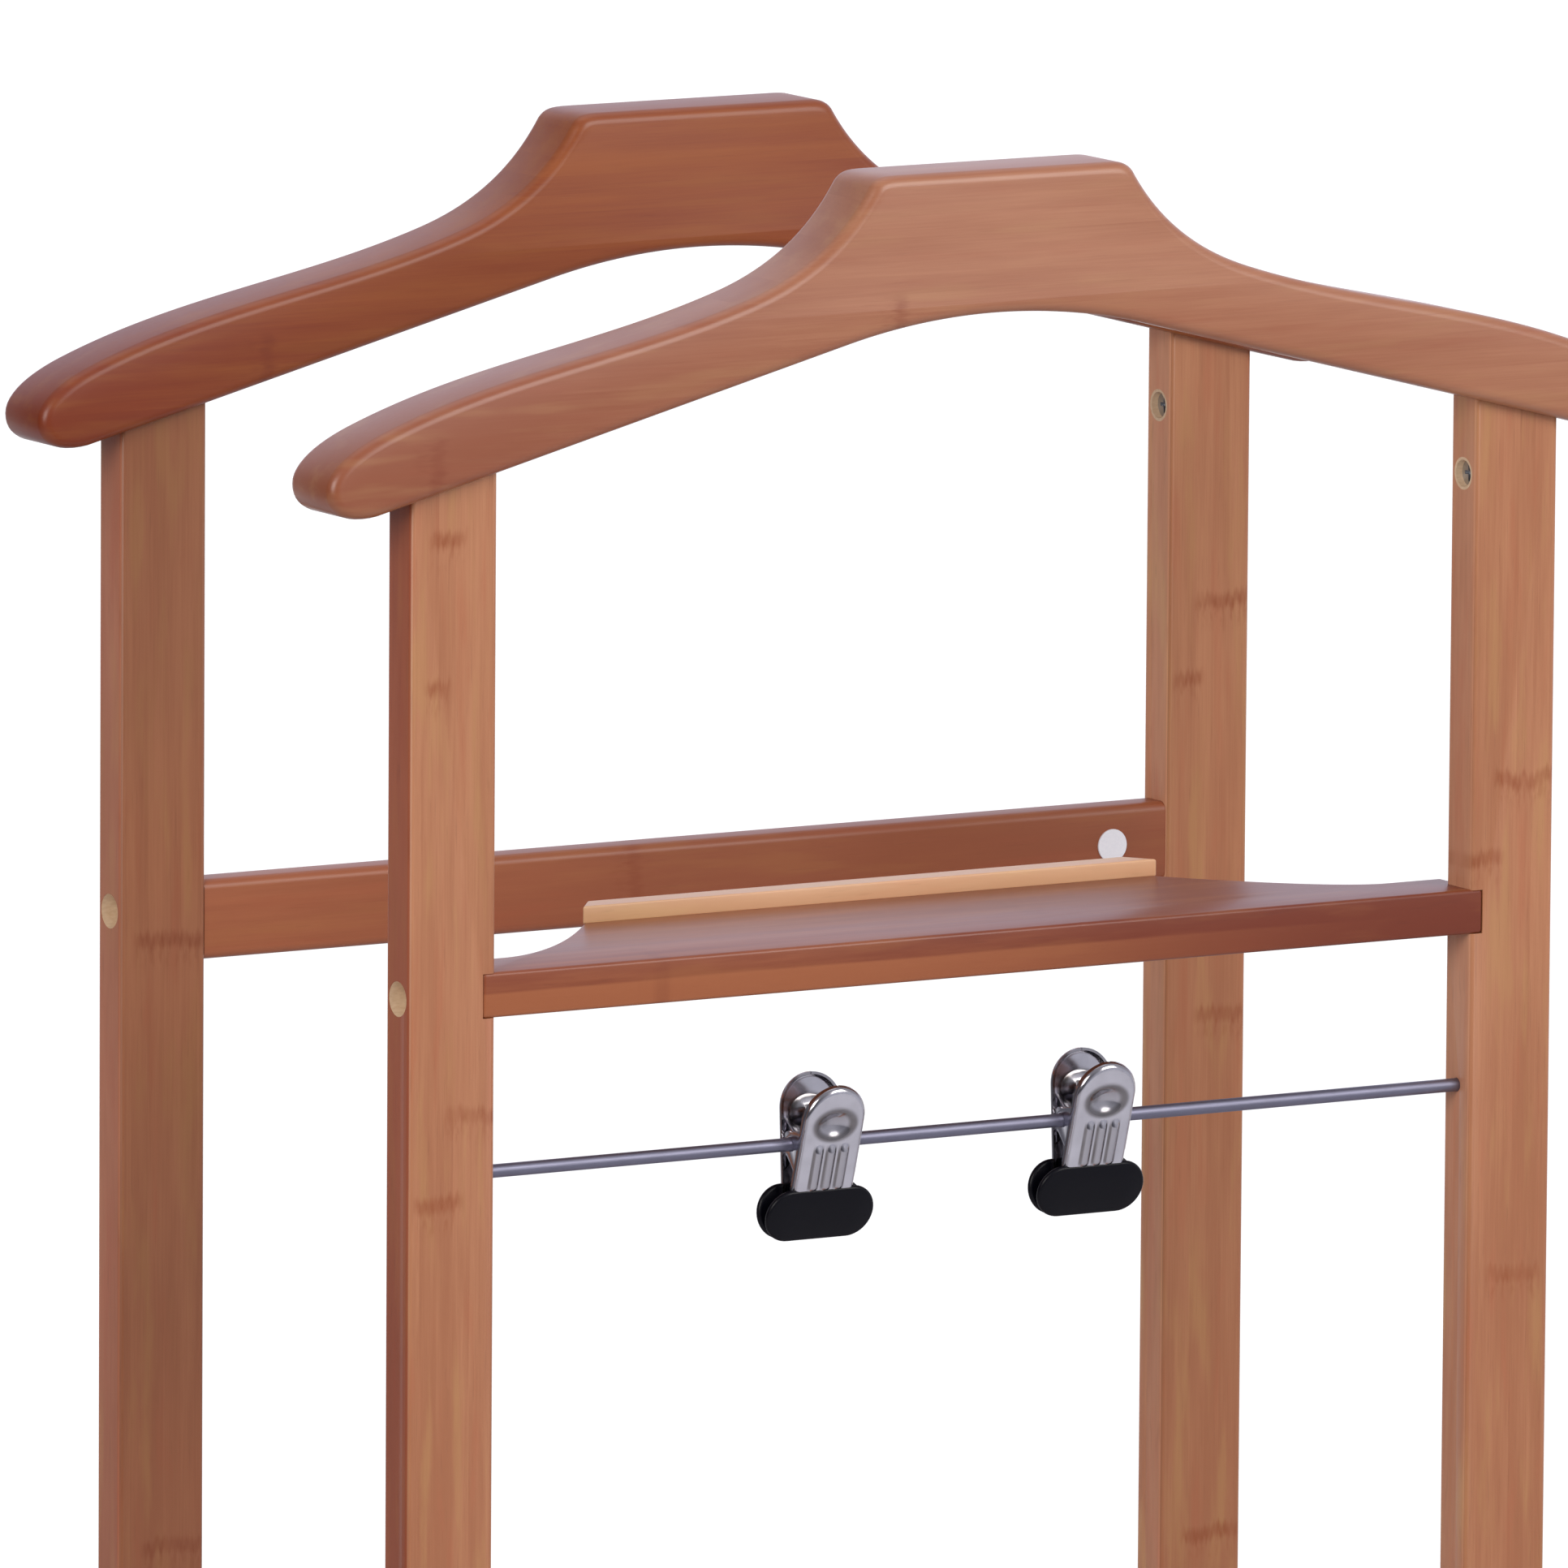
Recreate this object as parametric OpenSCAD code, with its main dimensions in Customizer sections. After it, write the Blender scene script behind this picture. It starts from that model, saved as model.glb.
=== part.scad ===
// Double valet stand in laminated bamboo: two hanger-topped frames, a small tray,
// a trouser rod with two sprung clips, and a low slatted shoe shelf.
// Millimetres, +Z up, front towards -Y, origin on the floor under the middle.

/* [Overall] */
// Height of the hangers' flat tops above the floor
stand_h = 1080; // [860:1:1300]
// Distance between the front and rear frames, centre to centre
frame_gap = 174; // [140:1:230]
// Length of a hanger, tip to tip
hanger_l = 452; // [370:1:560]

/* [Hangers] */
// Thickness of a hanger, front to back
hanger_t = 25.6; // [16:0.2:34]
// Width of the flat top
hanger_flat = 84.6; // [60:0.2:110]
// Height of the web at the middle of a hanger
hanger_web = 42.5; // [34:0.5:54]
// Depth of the arms, measured upright
arm_d = 24; // [20:0.5:29]
// Slope of the arms' undersides, in degrees
arm_slope = 14.4; // [10:0.1:18]
// Radius of the arch in the middle of the underside
arch_r = 207; // [150:1:260]

/* [Posts] */
// Width of a post, seen from the front
post_w = 28.8; // [24:0.1:36]
// Depth of a post, front to back
post_d = 14; // [12:0.1:18]
// Distance from a hanger's tip to the middle of its post
post_inset = 44.3; // [36:0.1:60]
// Radius of the edges of the posts, the rails and the slats
edge_r = 1.5; // [0.5:0.25:3]

/* [Tray] */
// Drop from the hangers' flat tops to the tray's top face
tray_drop = 226.2; // [200:0.2:280]
// Thickness of the tray board
tray_t = 13.4; // [10:0.2:18]
// Depth of the tray board, front to back
tray_d = 77; // [60:1:100]
// Depth of the tray's shoulders behind the posts' front faces
shoulder_d = 23.8; // [17:0.1:26]
// Length of the straight back edge of a shoulder, from the post to the scoop
scoop_flat = 15; // [5:1:25]
// Length of the scooped corner, along the tray
scoop_l = 60; // [45:1:70]
// Slope at which the scoop meets the tray's back edge, in degrees
scoop_end = 54; // [40:1:60]
// Depth that the tray's ends sit in the posts
housing_d = 4.2; // [2:0.1:8]
// Height of the lip above the tray
lip_h = 5; // [4:0.5:14]
// Thickness of the lip
lip_t = 9; // [5:0.5:14]

/* [Rails] */
// Height of a rail's section
rail_h = 24; // [18:0.2:32]
// Thickness of a rail
rail_t = 12.4; // [9:0.2:13.2]
// Drop from the hangers' flat tops to the rear rail's top edge
rail_drop = 223; // [200:0.2:280]
// Height of the lower rails' top edges above the floor
lower_rail_z = 172; // [130:1:220]

/* [Trouser rod] */
// Diameter of the trouser rod
rod_d = 4; // [3:0.1:8]
// Drop from the hangers' flat tops to the rod's centre
rod_drop = 286; // [262:0.5:330]
// Depth that the rod's ends sit in the posts
rod_seat = 12; // [6:1:20]

/* [Clips] */
// Place of the left clip along the rod
left_clip_x = -54; // [-100:1:-30]
// Place of the right clip along the rod
right_clip_x = 39; // [30:1:100]
// Lean of the hanging clips, tops towards the front, in degrees
clip_lean = 7; // [0:0.5:15]
// Distance from the rod's centre back from the clip's middle plane
pivot_back = 0.85; // [0:0.05:1.6]
// Distance from the rod's centre down to the jaws' tips
jaw_drop = 28.7; // [24:0.1:34]
// Length of a lever
lever_l = 48.5; // [42:0.5:56]
// Width of a lever
lever_w = 19.8; // [16:0.2:22]
// Thickness of the levers' sheet metal
sheet_t = 0.9; // [0.6:0.05:1.2]
// Angle of each lever to the clip's middle plane, in degrees
lever_angle = 10; // [6:0.5:12]
// Width of the jaws' rubber covers
jaw_w = 36.4; // [28:0.2:44]
// Height of the jaws' rubber covers
jaw_h = 16.4; // [10:0.2:18]
// Thickness of a jaw's rubber cover
jaw_t = 2.8; // [2.2:0.1:4]
// Diameter of the spring's wire
wire_d = 1; // [0.6:0.05:1.2]

/* [Base] */
// Length of a foot beam, front to back
foot_l = 340; // [280:1:420]
// Height of a foot beam
foot_h = 38; // [28:1:56]
// Width of a foot beam
foot_w = 28; // [24:0.5:40]
// Width of a slat
slat_w = 34; // [20:1:40]
// Thickness of a slat
slat_t = 8; // [6:0.5:12]
// Overhang of the slats past the middles of the lower rails
slat_over = 34; // [20:1:60]
// Diameter of a foot pad
pad_d = 18; // [12:1:26]
// Thickness of a foot pad
pad_t = 3; // [2:0.5:6]

/* [Fasteners] */
// Diameter of the counterbores in the posts' outer faces
counterbore_d = 10.4; // [8:0.1:10.8]
// Depth of those counterbores
counterbore_depth = 12; // [7:0.5:14]
// Diameter of the frame screws' shanks
screw_d = 3.6; // [3:0.1:5]
// Diameter of the frame screws' heads
screw_head_d = 7.6; // [6:0.1:7.8]
// Depth of thread in a rail's or the tray's end
screw_bite = 25; // [15:1:40]
// Diameter of the barrel nuts in the posts' inner faces
nut_d = 8; // [6:0.1:9]
// Drop from a post's top, at its inner face, to its barrel nut
nut_drop = 23; // [16:0.5:30]
// Diameter of the wooden dowels
dowel_d = 6; // [5:0.5:8]
// Depth of a dowel in each of its two pieces
dowel_seat = 12; // [8:1:16]
// Diameter of the round label
label_d = 10; // [6:0.5:14]

/* [Hidden] */
$fn = 48;
// Radial gap of pieces that are pushed into holes
fit_gap = 0.05;
// Radial gap of pieces that turn or slide on the rod
run_gap = 0.08;
// Gap between pieces that move past each other
side_gap = 0.35;
// Half of the gap left between the closed jaws
jaw_gap = 0.15;
// A little more than nothing, so that cuts run clean through
eps = 0.5;

post_x = hanger_l / 2 - post_inset;
frame_y = frame_gap / 2;
inner_x = post_x - post_w / 2;
outer_x = post_x + post_w / 2;
front_y = -frame_y - post_d / 2;
tray_top = stand_h - tray_drop;
tray_z = tray_top - tray_t;
rail_z = stand_h - rail_drop - rail_h;
low_z = lower_rail_z - rail_h;
rod_z = stand_h - rod_drop;
post_z = pad_t + foot_h;

// Height below a hanger's flat top of its underside, at a distance from the middle
arch_x = arch_r * sin(arm_slope);
arch_sag = arch_r * (1 - cos(arm_slope));
function underside(x) = -hanger_web - arch_sag - (abs(x) - arch_x) * tan(arm_slope);

// Point on a cubic curve with two handles, and the whole curve in n steps
function curve_at(a, b, c, d, t) =
    pow(1 - t, 3) * a + 3 * pow(1 - t, 2) * t * b + 3 * (1 - t) * t * t * c + t * t * t * d;
function curve(a, b, c, d, n) = [for (i = [1:n]) curve_at(a, b, c, d, i / n)];

// Right half of a hanger's outline, from the middle of the flat top round to the underside
half_flat = hanger_flat / 2;
tip_x = hanger_l / 2;
neck_foot = [half_flat + 43, underside(half_flat + 43) + arm_d];
arm_end = [tip_x - 18, underside(tip_x - 18) + arm_d - 0.6];
tip_point = [tip_x, arm_end[1] - 15.6];
heel_point = [tip_x - 16.5, underside(tip_x - 16.5)];
arm_run = (arm_end[0] - neck_foot[0]) / 3;
arm_fall = tan(arm_slope);
half_outline = concat(
    [[half_flat - 7, 0]],
    curve([half_flat - 7, 0], [half_flat - 2, 0], [half_flat + 0.5, -0.4], [half_flat + 2.5, -3], 5),
    curve([half_flat + 2.5, -3], [half_flat + 9.5, -14.5], neck_foot + [-22, 7.2], neck_foot, 12),
    curve(neck_foot, neck_foot + [arm_run, -arm_run * arm_fall - 2.9],
          arm_end + [-arm_run, arm_run * arm_fall + 6], arm_end, 14),
    curve(arm_end, arm_end + [9, -3.7], tip_point + [0, 6.5], tip_point, 8),
    curve(tip_point, tip_point + [0, -6.5], heel_point + [10, -1.8], heel_point, 8),
    [for (i = [0:8]) let (a = arm_slope * (1 - i / 8)) [arch_r * sin(a), -hanger_web - arch_r * (1 - cos(a))]]
);
hanger_outline = concat(
    half_outline,
    [for (i = [len(half_outline) - 2:-1:0]) [-half_outline[i][0], half_outline[i][1]]]
);

// Fastener places
nut_x = post_x - post_w / 2 + 7;
nut_l = 10;
nut_recess = 2.2;
nut_z = stand_h + underside(inner_x) - nut_drop;
bolt_d = nut_d / 2;
bolt_bite = 17;
top_dowel_x = post_x + 6;
foot_dowel_gap = 7;
screw_head_h = 3;
cross_w = 1.1;
cross_l = 4.6;
tray_screw_z = tray_z + tray_t / 2;
rail_screw_z = rail_z + rail_h / 2 + 4;
low_screw_z = low_z + rail_h / 2;
slat_screw_d = 3;
slat_screw_head_d = 6;
slat_screw_head_h = 1.8;
slat_screw_l = 16;
slat_n = 6;
slat_l = frame_gap + 2 * slat_over;
slat_pitch = (2 * inner_x - slat_w - 16) / (slat_n - 1);

// Clip places, in the clip's own frame: middle plane at y = 0, rod at y = pivot_back, z = 0
plate_in = (jaw_t - sheet_t) / 2;
sleeve_l = 12.6;
sleeve_d = rod_d + 1;
ear_r = rod_d / 2 + 2;
ear_h = 8;
flange_d = 1.2;
rear_ear_x = lever_w / 2 - 2 * sheet_t - side_gap;
front_ear_x = lever_w / 2 - sheet_t;
coil_turns = 5;
coil_r = sleeve_d / 2 + 0.3 + wire_d / 2;
// Rod's centre in a lever's own frame, whose origin is the tip of its jaw; side is 1 for the rear lever
function pivot_y(side) = (side * pivot_back - jaw_gap) * cos(lever_angle) - jaw_drop * sin(lever_angle);
function pivot_z(side) = (side * pivot_back - jaw_gap) * sin(lever_angle) + jaw_drop * cos(lever_angle);

// Children on the right side as drawn, or on the left side as their mirror image
module on_side(side) {
    mirror([side < 0 ? 1 : 0, 0, 0]) children();
}

// Cylinder along X, starting at x = 0
module rod_x(d, l) {
    rotate([0, 90, 0]) cylinder(d = d, h = l);
}

// Rectangle with round corners, made of true arcs
module round_rect(w, d, r) {
    square([w - 2 * r, d], center = true);
    square([w, d - 2 * r], center = true);
    for (sx = [-1, 1], sy = [-1, 1])
        translate([sx * (w / 2 - r), sy * (d / 2 - r)]) circle(r = r);
}

// Extrudes a flat shape drawn in Y and Z along X
module along_x(l) {
    rotate([90, 0, 90]) linear_extrude(l) children();
}

// ---------- Hangers ----------

module hanger(side_y) {
    translate([0, side_y * frame_y, stand_h]) difference() {
        translate([0, hanger_t / 2, 0]) rotate([90, 0, 0])
            linear_extrude(hanger_t) polygon(hanger_outline);
        for (s = [-1, 1]) on_side(s) {
            translate([nut_x, 0, underside(nut_x) - eps * 4])
                cylinder(d = bolt_d + 2 * fit_gap, h = bolt_bite + eps * 4);
            translate([top_dowel_x, 0, underside(top_dowel_x) - eps * 4])
                cylinder(d = dowel_d + 2 * fit_gap, h = dowel_seat + eps * 4);
        }
    }
}

module front_hanger() {
    color("#b9714c") hanger(-1);
}

module rear_hanger() {
    color("#a85f38") hanger(1);
}

// ---------- Posts ----------

// Counterbored screw hole from the outer face inwards, at a height
module screw_hole(z) {
    translate([outer_x - counterbore_depth, 0, z]) rod_x(counterbore_d, counterbore_depth + eps);
    translate([inner_x - eps, 0, z]) rod_x(screw_d + 2 * fit_gap, post_w);
}

// Right-hand post blank, with its joints to the hanger, the foot and the lower rail
module post_blank() {
    difference() {
        translate([post_x, 0, post_z])
            linear_extrude(stand_h - post_z) round_rect(post_w, post_d, edge_r);
        // Top cut to the slope of the hanger's underside
        translate([post_x, 0, stand_h + underside(post_x)]) rotate([0, arm_slope, 0])
            translate([-2 * post_w, -post_d, 0]) cube([4 * post_w, 2 * post_d, hanger_l]);
        translate([inner_x - eps, 0, nut_z])
            rod_x(nut_d + 2 * fit_gap, nut_recess + nut_l + eps);
        translate([nut_x, 0, nut_z]) cylinder(d = bolt_d + 2 * fit_gap, h = 2 * nut_drop);
        translate([top_dowel_x, 0, stand_h + underside(top_dowel_x) - dowel_seat])
            cylinder(d = dowel_d + 2 * fit_gap, h = 2 * dowel_seat);
        for (s = [-1, 1]) translate([post_x + s * foot_dowel_gap, 0, post_z - eps])
            cylinder(d = dowel_d + 2 * fit_gap, h = dowel_seat + eps);
        screw_hole(low_screw_z);
    }
}

module front_post() {
    translate([0, -frame_y, 0]) difference() {
        post_blank();
        // Housing for the tray's end
        translate([inner_x - eps, -post_d, tray_z]) cube([housing_d + eps, 2 * post_d, tray_t - end_step]);
        screw_hole(tray_screw_z);
        translate([inner_x - eps, 0, rod_z]) rod_x(rod_d + 2 * fit_gap, rod_seat + eps);
    }
}

module rear_post() {
    translate([0, frame_y, 0]) difference() {
        post_blank();
        screw_hole(rail_screw_z);
    }
}

module front_left_post() {
    color("#b88460") on_side(-1) front_post();
}

module front_right_post() {
    color("#b88460") front_post();
}

module rear_left_post() {
    color("#b88460") on_side(-1) rear_post();
}

module rear_right_post() {
    color("#b88460") rear_post();
}

// ---------- Tray, rails and rod ----------

// Scooped corner: a cubic curve from the shoulder's straight edge round to the back edge
scoop_a = [inner_x - scoop_flat, shoulder_d];
scoop_d = [scoop_a[0] - scoop_l, tray_d];
scoop_b = scoop_a - [0.36 * scoop_l, 0];
scoop_c = scoop_d + 0.18 * scoop_l * [cos(scoop_end), -sin(scoop_end)];
scoop = [for (i = [0:16]) let (t = i / 16, u = 1 - t)
    u * u * u * scoop_a + 3 * u * u * t * scoop_b + 3 * u * t * t * scoop_c + t * t * t * scoop_d];
half_tray = concat([[inner_x + housing_d, 0], [inner_x + housing_d, shoulder_d]], scoop);
tray_outline = concat(half_tray, [for (i = [len(half_tray) - 1:-1:0]) [-half_tray[i][0], half_tray[i][1]]]);
// Step that sinks the tray's housed ends below its top face, and the rebate that the lip is glued in
end_step = 0.3;
lip_seat = 1;

module tray_board() {
    color("#a8624a") difference() {
        translate([0, front_y, tray_z]) linear_extrude(tray_t) polygon(tray_outline);
        for (s = [-1, 1]) on_side(s) translate([inner_x + housing_d - screw_bite, -frame_y, tray_screw_z])
            rod_x(screw_d + 2 * fit_gap, screw_bite + eps);
        for (s = [-1, 1]) on_side(s) translate([inner_x, front_y - eps, tray_top - end_step])
            cube([2 * housing_d, tray_d, 2 * end_step]);
        translate([-inner_x, front_y + tray_d - lip_t, tray_top - lip_seat])
            cube([2 * inner_x, 2 * lip_t, 2 * lip_seat]);
    }
}

// Strip along the back edge, its ends cut to the scoops
module tray_lip() {
    color("#d8a26c") intersection() {
        translate([0, front_y, tray_top - lip_seat]) linear_extrude(lip_seat + lip_h) polygon(tray_outline);
        translate([-inner_x, front_y + tray_d - lip_t, tray_top - 2 * lip_seat])
            cube([2 * inner_x, 2 * lip_t, 4 * lip_seat + lip_h]);
    }
}

// Rail between two posts, with a screw hole in each end at a height
module rail(side_y, z, screw_z) {
    translate([0, side_y * frame_y, 0]) difference() {
        translate([-inner_x, 0, z + rail_h / 2]) along_x(2 * inner_x) round_rect(rail_t, rail_h, edge_r);
        for (s = [-1, 1]) on_side(s) translate([inner_x - screw_bite, 0, screw_z])
            rod_x(screw_d + 2 * fit_gap, screw_bite + eps);
    }
}

module rear_rail() {
    color("#9b5434") rail(1, rail_z, rail_screw_z);
}

module front_lower_rail() {
    color("#9b5434") difference() {
        rail(-1, low_z, low_screw_z);
        slat_screw_holes(-1);
    }
}

module rear_lower_rail() {
    color("#9b5434") difference() {
        rail(1, low_z, low_screw_z);
        slat_screw_holes(1);
    }
}

label_t = 0.5;
label_inset = 19;

module round_label() {
    color("white") translate([inner_x - label_inset, frame_y - rail_t / 2, rail_z + rail_h / 2])
        rotate([90, 0, 0]) cylinder(d = label_d, h = label_t);
}

module trouser_rod() {
    color("silver") translate([-inner_x - rod_seat, -frame_y, rod_z]) rod_x(rod_d, 2 * (inner_x + rod_seat));
}

// ---------- Base ----------

module foot() {
    end_r = foot_h * 0.6;
    difference() {
        translate([post_x - foot_w / 2, 0, pad_t]) along_x(foot_w) {
            translate([-foot_l / 2, 0]) square([foot_l, foot_h - end_r]);
            translate([-foot_l / 2 + end_r, 0]) square([foot_l - 2 * end_r, foot_h]);
            for (s = [-1, 1]) translate([s * (foot_l / 2 - end_r), foot_h - end_r]) circle(r = end_r);
        }
        translate([post_x - foot_w, -foot_l, pad_t - foot_h]) cube([2 * foot_w, 2 * foot_l, foot_h]);
        for (sy = [-1, 1], s = [-1, 1])
            translate([post_x + s * foot_dowel_gap, sy * frame_y, post_z - dowel_seat])
                cylinder(d = dowel_d + 2 * fit_gap, h = dowel_seat + eps);
    }
}

module left_foot() {
    color("#a86a48") on_side(-1) foot();
}

module right_foot() {
    color("#a86a48") foot();
}

pad_inset = 26;

module foot_pads() {
    color("#2a2a2a") for (sx = [-1, 1], sy = [-1, 1])
        translate([sx * post_x, sy * (foot_l / 2 - pad_inset), 0]) cylinder(d = pad_d, h = pad_t);
}

function slat_x(i) = (i - (slat_n - 1) / 2) * slat_pitch;

module slat_screw_holes(side_y) {
    for (i = [0:slat_n - 1]) translate([slat_x(i), side_y * frame_y, lower_rail_z + slat_t - slat_screw_l])
        cylinder(d = slat_screw_d + 2 * fit_gap, h = slat_screw_l);
}

module shoe_slat(i) {
    color("#b9794f") difference() {
        translate([slat_x(i), slat_l / 2, lower_rail_z + slat_t / 2]) rotate([90, 0, 0])
            linear_extrude(slat_l) round_rect(slat_w, slat_t, edge_r);
        for (sy = [-1, 1]) translate([slat_x(i), sy * frame_y, lower_rail_z]) {
            translate([0, 0, -eps]) cylinder(d = slat_screw_d + 2 * fit_gap, h = slat_t + 2 * eps);
            translate([0, 0, slat_t - slat_screw_head_h])
                cylinder(d = slat_screw_head_d + 2 * fit_gap, h = slat_screw_head_h + eps);
        }
    }
}

// ---------- Fasteners ----------

// Cross slot in a screw head that faces +Z, cut down from z = 0
module cross_slot(l, w, depth) {
    for (a = [0, 90]) rotate([0, 0, a]) translate([-l / 2, -w / 2, -depth]) cube([l, w, 2 * depth]);
}

// Frame screw, lying along X with its head's seat in a right-hand post's counterbore
module frame_screw(z, tip_x_at) {
    seat_x = outer_x - counterbore_depth;
    translate([0, 0, z]) {
        translate([tip_x_at, 0, 0]) rod_x(screw_d, seat_x - tip_x_at + eps);
        difference() {
            translate([seat_x, 0, 0]) rod_x(screw_head_d, screw_head_h);
            translate([seat_x + screw_head_h, 0, 0]) rotate([0, 90, 0]) cross_slot(cross_l, cross_w, 1.6);
        }
    }
}

module tray_screws() {
    color("#9aa0a6") for (s = [-1, 1]) on_side(s)
        translate([0, -frame_y, 0]) frame_screw(tray_screw_z, inner_x + housing_d - screw_bite);
}

module rear_rail_screws() {
    color("#9aa0a6") for (s = [-1, 1]) on_side(s)
        translate([0, frame_y, 0]) frame_screw(rail_screw_z, inner_x - screw_bite);
}

module lower_rail_screws() {
    color("#9aa0a6") for (sx = [-1, 1], sy = [-1, 1]) on_side(sx)
        translate([0, sy * frame_y, 0]) frame_screw(low_screw_z, inner_x - screw_bite);
}

module slat_screws() {
    color("#9aa0a6") for (i = [0:slat_n - 1], sy = [-1, 1])
        translate([slat_x(i), sy * frame_y, lower_rail_z + slat_t]) difference() {
            union() {
                translate([0, 0, -slat_screw_l]) cylinder(d = slat_screw_d, h = slat_screw_l - eps);
                translate([0, 0, -slat_screw_head_h]) cylinder(d = slat_screw_head_d, h = slat_screw_head_h);
            }
            cross_slot(3.6, 0.9, 1);
        }
}

// Barrel nut, lying along X in a right-hand post, with a threaded hole from above
module barrel_nuts() {
    color("#b8bcc2") for (sx = [-1, 1], sy = [-1, 1]) on_side(sx)
        translate([inner_x + nut_recess, sy * frame_y, nut_z]) difference() {
            rod_x(nut_d, nut_l);
            translate([nut_x - inner_x - nut_recess, 0, 0]) cylinder(d = bolt_d + 2 * fit_gap, h = nut_d);
            rotate([0, -90, 0]) cross_slot(5, cross_w, 1.5);
        }
}

module hanger_bolts() {
    color("#b8bcc2") for (sx = [-1, 1], sy = [-1, 1]) on_side(sx)
        translate([nut_x, sy * frame_y, nut_z])
            cylinder(d = bolt_d, h = stand_h + underside(nut_x) + bolt_bite - nut_z);
}

module hanger_dowels() {
    color("#dcbf90") for (sx = [-1, 1], sy = [-1, 1]) on_side(sx)
        translate([top_dowel_x, sy * frame_y, stand_h + underside(top_dowel_x) - dowel_seat])
            cylinder(d = dowel_d, h = 2 * dowel_seat);
}

module foot_dowels() {
    color("#dcbf90") for (sx = [-1, 1], sy = [-1, 1], s = [-1, 1])
        translate([sx * post_x + s * foot_dowel_gap, sy * frame_y, post_z - dowel_seat])
            cylinder(d = dowel_d, h = 2 * dowel_seat);
}

// ---------- Clips ----------

// Children hung on the rod: the clip leans about the rod's centre
module hung(clip_x) {
    translate([clip_x, -frame_y, rod_z]) rotate([clip_lean, 0, 0]) translate([0, -pivot_back, 0]) children();
}

// Children drawn in the rear lever's own frame, for the rear side 1 or mirrored to the front side -1
module lever_frame(side) {
    mirror([0, side < 0 ? 1 : 0, 0]) translate([0, jaw_gap, -jaw_drop]) rotate([-lever_angle, 0, 0]) children();
}

// Sheet of a lever, from inside the jaw up to its round thumb end
module lever_sheet(w) {
    translate([0, plate_in + sheet_t, 0]) rotate([90, 0, 0]) linear_extrude(sheet_t) {
        translate([-w / 2, 3]) square([w, lever_l - 3 - w / 2]);
        translate([0, lever_l - w / 2]) circle(d = w);
    }
}

module lever(side, w, ear_x) {
    py = pivot_y(side);
    pz = pivot_z(side);
    lever_frame(side) {
        difference() {
            union() {
                lever_sheet(w);
                for (s = [-1, 1]) on_side(s) {
                    // Ear that carries the lever on the rod
                    translate([ear_x, 0, 0]) along_x(sheet_t) {
                        translate([py, pz]) circle(r = ear_r);
                        polygon([[plate_in + eps / 2, pz - ear_h], [plate_in + eps / 2, pz + ear_h],
                                 [py, pz + ear_r], [py, pz - ear_r]]);
                    }
                    // Folded edges above and below the ear
                    translate([w / 2 - sheet_t, plate_in - flange_d, jaw_h + eps])
                        cube([sheet_t, flange_d + eps / 2, pz - ear_h - jaw_h]);
                    translate([w / 2 - sheet_t, plate_in - flange_d, pz + ear_h - eps])
                        cube([sheet_t, flange_d + eps / 2, lever_l - w / 2 - pz - ear_h]);
                }
            }
            translate([-w, py, pz]) rod_x(rod_d + 2 * run_gap, 2 * w);
        }
    }
}

// Rubber cover dipped over the end of a lever, hollow where the lever's sheet is
module jaw_cover(side, w) {
    lever_frame(side) difference() {
        translate([0, jaw_t, jaw_h / 2]) rotate([90, 0, 0]) linear_extrude(jaw_t) {
            square([jaw_w - jaw_h, jaw_h], center = true);
            for (s = [-1, 1]) translate([s * (jaw_w - jaw_h) / 2, 0]) circle(d = jaw_h);
        }
        lever_sheet(w);
    }
}

module clip_sleeve(x) {
    color("silver") hung(x) translate([-sleeve_l / 2, pivot_back, 0]) difference() {
        rod_x(sleeve_d, sleeve_l);
        translate([-eps, 0, 0]) rod_x(rod_d + 2 * run_gap, sleeve_l + 2 * eps);
    }
}

// Coil of the torsion spring as one closed tube, with its leg on the rear lever
module clip_spring(x) {
    coil_l = coil_turns * wire_d;
    color("#8a6f5a") hung(x) translate([0, pivot_back, 0]) {
        translate([-coil_l / 2, 0, 0]) rotate([0, 90, 0]) rotate_extrude()
            translate([coil_r - wire_d / 2, 0]) square([wire_d, coil_l]);
        spring_leg(1, wire_d - coil_l / 2);
    }
}

leg_l = 11;

// Straight leg from the coil up along the inside of a lever
module spring_leg(side, x) {
    rotate([-side * lever_angle, 0, 0])
        translate([x, side * coil_r, 0]) cylinder(d = 0.9 * wire_d, h = leg_l);
}

module clip_spring_leg(x) {
    coil_l = coil_turns * wire_d;
    color("#8a6f5a") hung(x) translate([0, pivot_back, 0])
        spring_leg(-1, coil_l / 2 + wire_d);
}

module left_clip_sleeve() { clip_sleeve(left_clip_x); }
module left_clip_rear_lever() { color("#c9ccd1") hung(left_clip_x) lever(1, lever_w, rear_ear_x); }
module left_clip_front_lever() { color("#c9ccd1") hung(left_clip_x) lever(-1, lever_w, front_ear_x); }
module left_clip_rear_jaw() { color("#151515") hung(left_clip_x) jaw_cover(1, lever_w); }
module left_clip_front_jaw() { color("#151515") hung(left_clip_x) jaw_cover(-1, lever_w); }
module left_clip_spring() { clip_spring(left_clip_x); }
module left_clip_spring_leg() { clip_spring_leg(left_clip_x); }

module right_clip_sleeve() { clip_sleeve(right_clip_x); }
module right_clip_rear_lever() { color("#c9ccd1") hung(right_clip_x) lever(1, lever_w, rear_ear_x); }
module right_clip_front_lever() { color("#c9ccd1") hung(right_clip_x) lever(-1, lever_w, front_ear_x); }
module right_clip_rear_jaw() { color("#151515") hung(right_clip_x) jaw_cover(1, lever_w); }
module right_clip_front_jaw() { color("#151515") hung(right_clip_x) jaw_cover(-1, lever_w); }
module right_clip_spring() { clip_spring(right_clip_x); }
module right_clip_spring_leg() { clip_spring_leg(right_clip_x); }

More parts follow.
